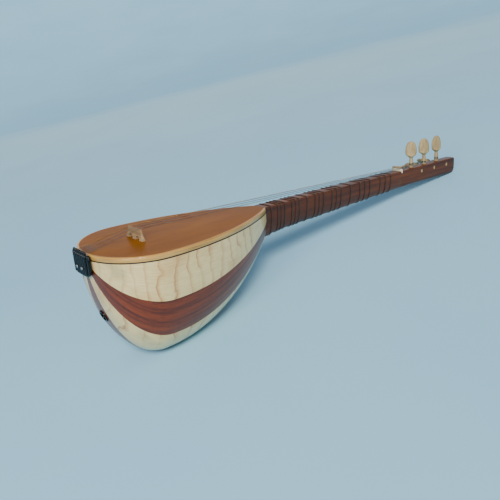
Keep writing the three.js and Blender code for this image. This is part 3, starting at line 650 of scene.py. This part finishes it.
def neckDepth(x):
    share = (x - neckStart) / (nutStart - neckStart)
    heel = np.clip(1 - (x - neckStart) / neck["heelLength"], 0, 1) ** 2
    start = bowl["jointDepth"] - neck["heelDrop"]
    return start + (neck["depthAtNut"] - start) * share + neck["heelDrop"] * heel


def crossRings(half, depth, power, ease, count):
    # the cross-section of neck and head: flat front with rounded edges, and an oval back whose
    # power makes it round or nearly square; half has one value for each ring, and so may the rest
    half, depth, power, ease = [value[:, None] for value in np.broadcast_arrays(half, depth, power, ease)]
    turn = np.linspace(0, math.pi / 2, 6)[None, :]
    frontY = half - ease + ease * np.sin(turn)
    frontZ = -ease + ease * np.cos(turn)
    first = np.arcsin(np.clip((ease / depth) ** (power / 2), 0, 1))
    share = np.linspace(0, 1, count)[None, 1:-1]
    backY, backZ = ovalSection(half, depth, first + (math.pi - 2 * first) * share, power)
    return (np.concatenate([frontY, backY, -frontY[:, ::-1]], 1),
            np.concatenate([frontZ, backZ, frontZ[:, ::-1]], 1))


def makeVeneer():
    x = np.array([bodyLength + 0.02, neckStart - 0.02])
    y, z = crossRings([bowl["jointWidth"] / 2] * 2, bowl["jointDepth"], bowl["sectionPower"],
                      neck["veneerEase"], neck["backPoints"])
    points = grid(x[:, None], y, z)
    makePiece("joint_veneer", points, "darkStrip", points[..., [2, 1, 0]],
              replaced=["neck_joint_veneer"], bevel=0.1)


def makeNeck():
    heel = neckStart + neck["heelLength"] * np.linspace(0, 1, 16) ** 1.5
    x = np.concatenate([heel, np.linspace(heel[-1], nutStart - 0.02, neck["rows"])[1:]])
    y, z = crossRings(neckHalf(x), neckDepth(x), bowl["sectionPower"], neck["ease"], neck["backPoints"])
    makePiece("shaped_neck", grid(x[:, None], y, z), "neck", replaced=["neck"], sharp=50)


head = dict(width=20.0, depth=28.0, shoulder=28.0, bevel=2.0, squarePower=5.0, tipLength=7.0,
            tipShare=0.78, nutThickness=3.0, nutSeat=3.0, sideDepth=8.5)


def headHalf(x):
    share = np.clip((x - nutStart) / head["shoulder"], 0, 1)
    return (neck["nutWidth"] + (head["width"] - neck["nutWidth"]) * share) / 2


def makeHeadstock():
    # the head squares up past the nut and is rounded over at its tip
    tipStart = headEnd - head["tipLength"]
    tip = tipStart + head["tipLength"] * np.sin(np.linspace(0, math.pi / 2, 10))
    x = np.concatenate([np.linspace(nutStart, nutStart + head["shoulder"], 18),
                        np.linspace(nutStart + head["shoulder"], tipStart, 30)[1:], tip[1:]])
    share = eased(np.clip((x - nutStart) / head["shoulder"], 0, 1))
    onTip = np.clip((x - tipStart) / head["tipLength"], 0, 1)
    shrink = head["tipShare"] + (1 - head["tipShare"]) * np.sqrt(1 - onTip**2 * 0.999)
    y, z = crossRings(headHalf(x) * shrink,
                      (neck["depthAtNut"] + (head["depth"] - neck["depthAtNut"]) * share) * shrink,
                      bowl["sectionPower"] + (head["squarePower"] - bowl["sectionPower"]) * share,
                      neck["ease"] + (head["bevel"] - neck["ease"]) * share, neck["backPoints"])
    cutters = [nutSeatBox()]
    for place in frontPlaces:
        cutters.append(rodShape([place, 0, 3], [place, 0, -head["depth"] - 3], peg["hole"], peg["holeEnd"]))
    for place in sidePlaces:
        half = headHalf(place) + 3
        cutters.append(rodShape([place, half, -head["sideDepth"]], [place, -half, -head["sideDepth"]],
                                peg["hole"], peg["holeEnd"]))
    makePiece("carved_head", grid(x[:, None], y, z), "neck", replaced=["headstock"], cutters=cutters,
              sharp=50)


def nutSeatBox():
    low = np.array([nutStart - 1, -14.0, -head["nutSeat"]])
    high = np.array([nutStart + head["nutThickness"], 14.0, 4.0])
    square = np.array([[0, 0], [1, 0], [1, 1], [0, 1]])
    corner = grid(np.array([[0], [1]]), *square.T)
    return low + corner * (high - low), loopFaces(2, 4)


peg = dict(height=45.5, hole=3.85, holeEnd=3.2, tipInset=0.6, paddleStart=16.5, paddleRun=8.5,
           flatness=0.36, hollow=0.22, hollowMiddle=33, hollowReach=7,
           frontTurns=(-30, -24, -12), sideTurns=(20, -10, 40), sides=36, rows=90)
frontPlaces = [toOwn(joints[f"front_peg_{i}_turn"]["pos_m"])[0][0] for i in (1, 2, 3)]
sidePlaces = [toOwn(joints[f"side_peg_{i}_turn"]["pos_m"])[0][0] for i in (1, 2, 3)]


def shankRadius(height):
    # the turned shank: slim taper in the wood, a waist above the string, then out to the paddle
    knots = [-28, -20, 0, 9, 14, 16.5, 18.5, 21, 24.5, 29, 34, 38.5, 42, 44.4, 45.5]
    radii = [2.9, 3.1, 3.55, 3.4, 3.0, 3.0, 5.0, 8.5, 10.0, 10.2, 9.7, 8.4, 6.4, 3.7, 0.0]
    return smoothThrough(knots, radii, height)


def makePeg(name, base, axis, wide, turn, shankLength):
    # a round shank whose one cross direction flattens into a paddle with a shallow thumb hollow
    axis, wide = np.array(axis, float), np.array(wide, float)
    thin = np.cross(axis, wide)
    angle = math.radians(turn)
    wide, thin = (math.cos(angle) * wide + math.sin(angle) * thin,
                  math.cos(angle) * thin - math.sin(angle) * wide)
    crown = peg["height"] * (1 - (1 - np.linspace(0, 1, peg["rows"])) ** 1.6)
    height = np.concatenate([[-shankLength, -shankLength + 0.25], np.linspace(-shankLength + 0.7, -1, 14),
                             crown[:-1], [peg["height"] - 0.01]])
    radius = np.maximum(shankRadius(height), 0.02)
    radius[0] *= 0.9
    flatten = eased(np.clip((height - peg["paddleStart"]) / peg["paddleRun"], 0, 1))
    hollow = peg["hollow"] * np.exp(-(((height - peg["hollowMiddle"]) / peg["hollowReach"]) ** 2)) * flatten
    around = fullTurn(peg["sides"])[None, :]
    across = np.cos(around) * radius[:, None]
    thickness = (1 + (peg["flatness"] - 1) * flatten)[:, None] * radius[:, None] * np.sin(around)
    thickness *= 1 - hollow[:, None] * np.abs(np.sin(around)) ** 3
    points = (np.array(base, float) + height[:, None, None] * axis
              + across[..., None] * wide + thickness[..., None] * thin)
    grain = grid(height[:, None], across + turn, thickness)
    makePiece(f"turned_{name}", points, "peg", grain, body=name, replaced=[name], sharp=60)


coil = dict(radius=0.2, pitch=0.62, turns=5.0, sinkTurn=0.9, sinkDepth=1.6, sides=8, stepsPerTurn=40)


def makeCoil(name, base, axis, start, ahead, height, direction):
    # the string's turns round the shank: a helix that starts where the string arrives, and whose
    # last part turn sinks into the wood
    axis, start, ahead = [np.array(value, float) for value in (axis, start, ahead)]
    count = int(coil["turns"] * coil["stepsPerTurn"])
    turn = np.linspace(0, 2 * math.pi * coil["turns"], count)
    lift = height + direction * coil["pitch"] * turn / (2 * math.pi)
    last = (turn - turn[-1] + coil["sinkTurn"]) / coil["sinkTurn"]
    sink = np.clip(last, 0, 1) ** 2 * coil["sinkDepth"]
    radius = shankRadius(lift) + coil["radius"] - sink
    radial = np.cos(turn)[:, None] * start + np.sin(turn)[:, None] * ahead
    path = np.array(base, float) + radial * radius[:, None] + lift[:, None] * axis
    rings = sweep(path, radial, np.tile(axis, (count, 1)), circle(coil["radius"], coil["sides"]))
    grain = grid(pathLength(path)[:, None], np.zeros(coil["sides"]), 0.0)
    makePiece(f"string_turns_{name}", rings, "steel", grain, body=name, sharp=80)


def makePegs():
    for i in range(3):
        name = f"front_peg_{i + 1}"
        base = [frontPlaces[i], 0, 0]
        makePeg(name, base, [0, 0, 1], [1, 0, 0], peg["frontTurns"][i], head["depth"] - peg["tipInset"])
        makeCoil(name, base, [0, 0, 1], [0, -1, 0], [1, 0, 0], frontHeights[i], 1 if i == 2 else -1)
        name = f"side_peg_{i + 1}"
        half = headHalf(sidePlaces[i])
        base = [sidePlaces[i], half, -head["sideDepth"]]
        makePeg(name, base, [0, 1, 0], [1, 0, 0], peg["sideTurns"][i], 2 * half - peg["tipInset"])
        makeCoil(name, base, [0, 1, 0], [0, 0, 1], [1, 0, 0], sideHeights[i], -1 if i == 2 else 1)


frontHeights = (7.4, 5.75, 4.1)
sideHeights = (4.1, 5.75, 7.4)

nut = dict(rise=3.5, slotDepth=0.45, slotWidth=0.35)
courses = dict(tailSpread=26.0, bridgeSpread=27.0, bridgePair=3.0, nutSpread=15.0, nutPair=2.2)


def coursePlaces(spread, pair):
    middles = np.array([-1.0, 0.0, 1.0]) * (spread - pair) / 2
    return (middles[:, None] + np.array([-pair / 2, pair / 2])).ravel()


tailPlaces = (np.arange(6) / 5 - 0.5) * courses["tailSpread"]
bridgePlaces = coursePlaces(courses["bridgeSpread"], courses["bridgePair"])
nutPlaces = coursePlaces(courses["nutSpread"], courses["nutPair"])


def slotted(y, places, depth, width):
    # how far a crest is cut down by round slots at the strings' places
    return depth * np.exp(-(((y[:, None] - places[None, :]) / width) ** 4)).sum(1)


def makeNut():
    # an upright strip of bone: its cross-section (x, z) is carried across the neck, with the crest
    # rounded and cut down in a slot under each string
    half = neck["nutWidth"] / 2 - 0.3
    y = np.linspace(-half, half, 221)
    end = np.clip((np.abs(y) - half + 1.2) / 1.2, 0, 1)
    crest = nut["rise"] + 0.25 - slotted(y, nutPlaces, nut["slotDepth"], nut["slotWidth"]) - 0.9 * end**2
    turn = np.linspace(0, math.pi, 9)
    thick = head["nutThickness"] - 0.04
    x = nutStart + 0.02 + thick / 2 - thick / 2 * np.cos(turn)
    crown = crest[:, None] - 1.0 + 1.0 * np.sin(turn)[None, :]
    foot = grid([x[-1], x[0]], y[:, None], -head["nutSeat"] + 0.02)
    rings = np.concatenate([grid(x, y[:, None], crown), foot], 1)
    makePiece("slotted_nut", rings, "nut", replaced=["nut"], sharp=50)


bridgeLow, bridgeHigh = ownBox("bridge")
bridge = dict(baseThickness=5.0, topThickness=2.0, crown=34.0, archHeight=5.6, footShare=0.36, slotDepth=0.5)


def makeBridge():
    # a carved strip across the soundboard: for every y there is a foot height (two arches between
    # three feet), a crest height and a thickness that tapers to the crest
    half = bridgeHigh[1] - 0.02
    low, high = bridgeLow[2], bridgeHigh[2]
    middle = (bridgeLow[0] + bridgeHigh[0]) / 2
    y = np.linspace(-half, half, 301)
    inner, outer = half * bridge["footShare"] / 2, half * (1 - bridge["footShare"])
    inArch = np.clip((np.abs(y) - inner) / (outer - inner), 0, 1)
    under = low + bridge["archHeight"] * np.sqrt(np.clip(1 - (2 * inArch - 1) ** 2, 0, 1))
    shoulder = np.clip((np.abs(y) - bridge["crown"] / 2) / (half - bridge["crown"] / 2), 0, 1)
    crest = high + 0.25 - (high - low - 2.6) * (1 - (1 - shoulder) ** 2.4) ** 0.62
    crest -= slotted(y, bridgePlaces, bridge["slotDepth"], 0.4) * (shoulder == 0)
    level = np.linspace(0, 1, 9)
    height = under[:, None] + (crest - 0.6 - under)[:, None] * level[None, :]
    share = (height - low) / (high - low)
    thick = bridge["baseThickness"] + (bridge["topThickness"] - bridge["baseThickness"]) * share**0.8
    turn = np.linspace(0, math.pi, 7)[1:-1]
    topThick = thick[:, -1]
    crownX = topThick[:, None] / 2 * np.cos(turn)[None, :]
    crownZ = (crest - 0.6)[:, None] + 0.6 * np.sin(turn)[None, :]
    x = np.concatenate([thick / 2, crownX, -thick[:, ::-1] / 2], 1) + middle
    z = np.concatenate([height, crownZ, height[:, ::-1]], 1)
    points = grid(x, y[:, None], z)
    makePiece("carved_bridge", points, "bridge", points[..., [1, 0, 2]], body="bridge",
              replaced=["bridge"], sharp=45)


tailLow, tailHigh = ownBox("tailpiece")
comb = dict(fingers=7, fingerRadius=2.1, knob=2.0, corner=11.0, sides=14, rows=40, plateSides=28,
            plateRows=121, plateTop=1.15, plateFront=2.0, rise=0.6)


def makeTailpiece():
    # the plate: for every y a top and a bottom height, closed round an oval cross-section
    half = tailHigh[1] - 0.05
    y = np.linspace(-half, half, comb["plateRows"])
    fromCorner = np.clip((np.abs(y) - half + comb["corner"]) / comb["corner"], 0, 1)
    low = tailLow[2] + comb["corner"] * (1 - np.sqrt(1 - fromCorner**2 * 0.96))
    top = comb["plateTop"] - 0.8 * np.clip((np.abs(y) - half + 1.5) / 1.5, 0, 1) ** 2
    back, front = tailHigh[0], tailLow[0] + comb["plateFront"]
    turn = fullTurn(comb["plateSides"])
    squareX = np.sign(np.cos(turn)) * np.abs(np.cos(turn)) ** 0.3
    squareZ = np.sign(np.sin(turn)) * np.abs(np.sin(turn)) ** 0.16
    plate = grid((back + front) / 2 + squareX * (back - front) / 2, y[:, None],
                 (top + low)[:, None] / 2 + squareZ * (top - low)[:, None] / 2)
    makePiece("comb_plate", plate, "black", replaced=["tailpiece"], sharp=60)
    # the fingers: upright half-round ribs on the plate that stand up as teeth between the strings
    spacing = courses["tailSpread"] / 5
    rise = 1 - (1 - np.linspace(0, 1, comb["rows"])) ** 1.5
    crown = tailHigh[2] + comb["rise"]
    knobMiddle = crown - comb["knob"]
    around = fullTurn(comb["sides"])[None, :]
    for i in range(comb["fingers"]):
        place = (i - (comb["fingers"] - 1) / 2) * spacing
        foot = np.interp(abs(place), y[len(y) // 2 :], low[len(y) // 2 :]) + 1.2
        height = foot + (crown - foot) * rise
        ends = np.sqrt(np.clip(1 - (np.clip(0.07 - rise, 0, 1) / 0.07) ** 2, 0, 1))
        ends *= np.sqrt(np.clip(1 - (np.clip(height - knobMiddle, 0, None) / comb["knob"]) ** 2, 0, 1))
        waist = 1 - 0.3 * np.exp(-(((height - knobMiddle + 2.6) / 1.1) ** 2))
        radius = np.maximum(comb["fingerRadius"] * ends * waist, 0.02)[:, None]
        spot = front - 0.1 + 0.9 * np.clip((height + 1.0) / 4.0, 0, 1)
        ring = grid(spot[:, None] + radius * np.cos(around) * 0.85, place + radius * np.sin(around),
                    height[:, None])
        makePiece(f"comb_finger_{i + 1}", ring, "black", sharp=60)


screw = dict(headRadius=2.2, dome=1.2, slotWidth=0.3, slotDepth=0.45, slotShare=0.72, rows=14, sides=40)


def makeScrew(name):
    # a domed head with a cross slot pressed in, on its shank: rings given by place and radius
    low, high = ownBox(name)
    middle = (low + high) / 2
    reach = np.linspace(0.02, 1, screw["rows"])[:, None]
    around = fullTurn(screw["sides"])[None, :]
    slot = np.minimum(np.abs(np.sin(around)), np.abs(np.cos(around))) * (reach * screw["headRadius"])
    press = screw["slotDepth"] * np.exp(-((slot / screw["slotWidth"]) ** 4)) * (reach < screw["slotShare"])
    cap = low[0] + screw["dome"] - screw["dome"] * np.sqrt(1 - (reach * 0.98) ** 2) + press
    tail = np.array([(1.25, 2.1), (1.3, 1.1), (high[0] - low[0], 0.9)])
    x = np.concatenate([cap, np.broadcast_to(low[0] + tail[:, :1], (3, screw["sides"]))])
    radius = np.concatenate([reach * screw["headRadius"], tail[:, 1:]])
    rings = grid(x, middle[1] + radius * np.cos(around), middle[2] + radius * np.sin(around))
    makePiece(f"domed_{name}", rings, "screw", replaced=[name], sharp=50)


wire = dict(level=4.0, lift=0.05, plain=0.2, wound=0.3, sides=8, loopDrop=7.0, twistLength=12.0, twistTurns=9)


def roundedPath(corners, radius):
    # straight runs joined by short curves: each corner gives way to an arc of a few points
    corners = np.array(corners, float)
    pieces = [corners[:1]]
    for before, corner, after in zip(corners[:-2], corners[1:-1], corners[2:]):
        reach = min(radius, np.linalg.norm(corner - before) / 2.1, np.linalg.norm(after - corner) / 2.1)
        a = corner + unit(before - corner) * reach
        b = corner + unit(after - corner) * reach
        t = np.linspace(0, 1, 7)[:, None]
        pieces.append((1 - t) ** 2 * a + 2 * t * (1 - t) * corner + t**2 * b)
    pieces.append(corners[-1:])
    return np.concatenate(pieces)


def makeTube(name, path, radius, finish, replaced):
    # a round wire along a path, its rings square to the path
    along = unit(np.gradient(path, axis=0))
    reference = np.where(np.abs(along[:, 1:2]) > 0.9, [[1.0, 0.0, 0.0]], [[0.0, 1.0, 0.0]])
    aside = unit(np.cross(along, reference))
    section = circle(radius, wire["sides"])
    rings = sweep(path, aside, np.cross(along, aside), section)
    grain = grid(pathLength(path)[:, None], *section.T)
    makePiece(name, rings, finish, grain, replaced=replaced, sharp=80)


def makeStrings():
    # each string runs from its loop on the comb over bridge and nut to the turns on its peg; it
    # stays level for the few millimetres that the bridge can slide
    crest = bridgeHigh[2] + 0.25 - bridge["slotDepth"]
    middle = (bridgeLow[0] + bridgeHigh[0]) / 2
    topOfNut = nut["rise"] + 0.25 - nut["slotDepth"]
    front = shankRadius(np.array(frontHeights)) + coil["radius"]
    side = shankRadius(np.array(sideHeights)) + coil["radius"]
    ends = [[frontPlaces[i], -front[i], frontHeights[i]] for i in (2, 1, 0)]
    ends += [[sidePlaces[i], headHalf(sidePlaces[i]) + sideHeights[i], side[i] - head["sideDepth"]]
             for i in (2, 1, 0)]
    for i, end in enumerate(ends):
        radius = wire["wound"] if i == 5 else wire["plain"]
        outside = tailLow[0] + comb["plateFront"]
        notch = comb["plateTop"] + radius
        corners = [
            [outside - 0.35, tailPlaces[i], -wire["loopDrop"]],
            [outside - 0.35, tailPlaces[i], notch - 0.3],
            [outside + 1.0, tailPlaces[i], notch],
            [tailHigh[0], tailPlaces[i], notch],
            [middle - 1, bridgePlaces[i], crest + radius + wire["lift"]],
            [middle + 1 + wire["level"], bridgePlaces[i], crest + radius + wire["lift"]],
            [nutStart + 0.4, nutPlaces[i], topOfNut + radius],
            [nutStart + 2.4, nutPlaces[i], topOfNut + radius],
            end,
        ]
        makeTube(f"strung_wire_{i + 1}", roundedPath(corners, 1.2), radius, "wound" if i == 5 else "steel",
                 [f"string_{i + 1}"])
        makeTwist(i, np.array(corners[3]), np.array(corners[4]), radius)


def makeTwist(i, start, end, radius):
    # the wire's own end wrapped back round it in front of the comb
    direction = unit(end - start)
    aside = unit(np.cross(direction, [0.0, 1.0, 0.0]))
    up = np.cross(direction, aside)
    t = np.linspace(0, 1, wire["twistTurns"] * 14)
    spin = 2 * math.pi * wire["twistTurns"] * t
    reach = radius + wire["plain"] * (1 - 0.5 * np.clip((t - 0.96) / 0.04, 0, 1))
    radial = np.cos(spin)[:, None] * aside + np.sin(spin)[:, None] * up
    path = start + direction * (2.0 + wire["twistLength"] * t)[:, None] + radial * reach[:, None]
    rings = sweep(path, radial, np.tile(direction, (len(t), 1)), circle(wire["plain"], 6))
    grain = grid(pathLength(path)[:, None], np.zeros(6), 0.0)
    makePiece(f"wire_twist_{i + 1}", rings, "steel", grain, sharp=80)


tie = dict(lineRadius=0.31, turns=3, clearance=0.22, travel=2.1, sides=8, backPoints=40, knot=(1.5, 0.9, 1.1))
fretNames = sorted(name for name in frame["nodes"] if name.startswith("fret_"))


def makeFret(name):
    # three turns of nylon line side by side, with the knot on the upper side of the neck; each is
    # a ring round the neck's cross-section where the fret comes when it slides to the body
    low, high = ownBox(name)
    place = (low[0] + high[0]) / 2
    spots = place + (np.arange(tie["turns"]) - (tie["turns"] - 1) / 2) * tie["lineRadius"] * 2.04
    lift = tie["clearance"] + tie["lineRadius"]
    shapes = []
    for spot in spots:
        slid = spot - tie["travel"]
        y, z = crossRings([neckHalf(slid) + lift], neckDepth(slid) + 2 * lift, bowl["sectionPower"],
                          neck["ease"] + lift, tie["backPoints"])
        loop = grid(spot, y[0], z[0] + lift)
        ahead = np.roll(loop, -1, 0) - np.roll(loop, 1, 0)
        outward = unit(np.cross(ahead, [1.0, 0.0, 0.0]))
        ring = sweep(loop, outward, np.tile([1.0, 0, 0], (len(loop), 1)),
                     circle(tie["lineRadius"], tie["sides"]))
        shapes.append((ring, loopFaces(len(loop), tie["sides"], closed=True)))
    shapes.append(knotShape(place, neckHalf(place) + lift + 0.3, -neckDepth(place) * 0.3))
    points, faces = joined(shapes)
    makePiece(f"tied_{name}", points, "nylon", faces=faces, body=name, replaced=[name], sharp=80)


def knotShape(x, y, z):
    # a pulled knot: an oval bead with two crossing swells round it
    a = np.linspace(0.08, math.pi - 0.08, 14)[:, None]
    b = fullTurn(18)[None, :]
    swellOut = 1 + 0.16 * np.cos(3 * a + b) + 0.1 * np.cos(2 * b)
    long, deep, tall = tie["knot"]
    points = grid(x + long * np.cos(a) * swellOut, y + deep * np.sin(a) * np.cos(b) * swellOut,
                  z + tall * np.sin(a) * np.sin(b) * swellOut)
    return points, loopFaces(14, 18)


def dressHiddenNodes():
    # blocks, linings and braces stay as they are inside the bowl and get bare wood
    for name in ("tail_block", "neck_block", "lining_right", "lining_left", "soundboard_brace_1",
                 "soundboard_brace_2"):
        mesh = frame["nodes"][name].data
        mesh.materials.clear()
        mesh.materials.append(finishes["inside"][0])


print("stage: bowl")
makeRibs()
makeSoundHoleRing()
dressHiddenNodes()
print("stage: soundboard and edge")
makeSoundboard()
makeBinding()
makePurfling()
print("stage: neck and head")
makeVeneer()
makeNeck()
makeHeadstock()
makeNut()
print("stage: pegs")
makePegs()
print("stage: frets")
for fretName in fretNames:
    makeFret(fretName)
print("stage: bridge, tailpiece and strings")
makeBridge()
makeTailpiece()
for screwNumber in (1, 2):
    makeScrew(f"tailpiece_screw_{screwNumber}")
makeStrings()

print("stage: floor, light and camera")
studio = dict(floor="#9bd0ee", floorDull="#93cbea", floorRadius=2.4, floorRise=0.14,
              sky="#b4cede", skyStrength=0.45, aimShare=(0.2672, 0.027, 0.588), azimuth=32.46,
              elevation=23.75, roll=-14.55, distance=0.8, viewAngle=43.8)
low, high = [np.array(corner) for corner in cadBox]
aim = low + np.array(studio["aimShare"]) * (high - low)


def makeFloor():
    # a plain seamless floor, matt with the faintest mottling
    material, add = newMaterial("matt backdrop paper")
    noise = add("TexNoise", {"Vector": add("TexCoord").outputs["Object"], "Scale": 3, "Detail": 3})
    colour = add("ValToRGB", {"Fac": noise}, [(0.3, studio["floorDull"]), (0.7, studio["floor"])])
    closeMaterial(material, {"Base Color": colour, "Roughness": 0.85})
    # flat out to its radius, then rising ever more steeply into a wall on every side
    turn = fullTurn(96)[None, :]
    reach = np.concatenate([[0.02], np.linspace(0.3, 6.0, 40)])[:, None]
    rise = np.clip(reach - studio["floorRadius"], 0, None) ** 2 * studio["floorRise"]
    points = grid(reach * np.cos(turn), reach * np.sin(turn), rise).reshape(-1, 3)
    faces = loopFaces(41, 96)[:-1]
    mesh = bpy.data.meshes.new("floor")
    mesh.from_pydata(points.tolist(), [], [face[::-1] for face in faces[:-1]] + [faces[-1]])
    mesh.shade_smooth()
    mesh.materials.append(material)
    addObject("floor", mesh)


def lookFrom(obj, place, target, roll=0.0):
    place, target = Vector(place), Vector(target)
    facing = (target - place).to_track_quat("-Z", "Y").to_matrix().to_4x4()
    obj.matrix_world = Matrix.Translation(place) @ facing @ Matrix.Rotation(math.radians(roll), 4, "Z")


def direction(azimuth, elevation):
    # from the aim back towards the viewer; azimuth 0 looks along +Y
    a, e = math.radians(azimuth), math.radians(elevation)
    return np.array([-math.sin(a) * math.cos(e), -math.cos(a) * math.cos(e), math.sin(e)])


def addLight(name, kind, azimuth, elevation, distance, power, tint, **settings):
    # a light that looks at the aim from the given side; settings are the light's own
    light = bpy.data.lights.new(name, kind)
    light.energy = power
    light.color = fromHex(tint)[:3]
    for key, value in settings.items():
        setattr(light, key, value)
    lamp = addObject(name, light)
    lookFrom(lamp, aim + direction(azimuth, elevation) * distance, aim)
    return lamp


makeFloor()
addLight("key light", "SUN", 30, 42, 1.0, 3.5, "#fff4e6", angle=math.radians(16))
addLight("front softbox", "AREA", 62, 30, 1.6, 12, "#fffaf2", shape="RECTANGLE", size=0.5, size_y=0.5)
addLight("low front fill", "AREA", -10, 20, 2.2, 8, "#fff6ea", shape="RECTANGLE", size=1.6, size_y=0.5)
warmCard = addLight("warm card behind", "AREA", 216, 13, 2.1, 6, "#ff9a3c", shape="RECTANGLE", size=2.6,
                    size_y=0.7)
warmCard.visible_camera = False
world = bpy.data.worlds.new("studio")
world.use_nodes = True
world.node_tree.nodes["Background"].inputs["Color"].default_value = fromHex(studio["sky"])
world.node_tree.nodes["Background"].inputs["Strength"].default_value = studio["skyStrength"]
bpy.context.scene.world = world

cameraData = bpy.data.cameras.new("camera")
cameraData.angle = math.radians(studio["viewAngle"])
camera = addObject("camera", cameraData)
lookFrom(camera, aim + direction(studio["azimuth"], studio["elevation"]) * studio["distance"], aim,
         studio["roll"])
bpy.context.scene.camera = camera
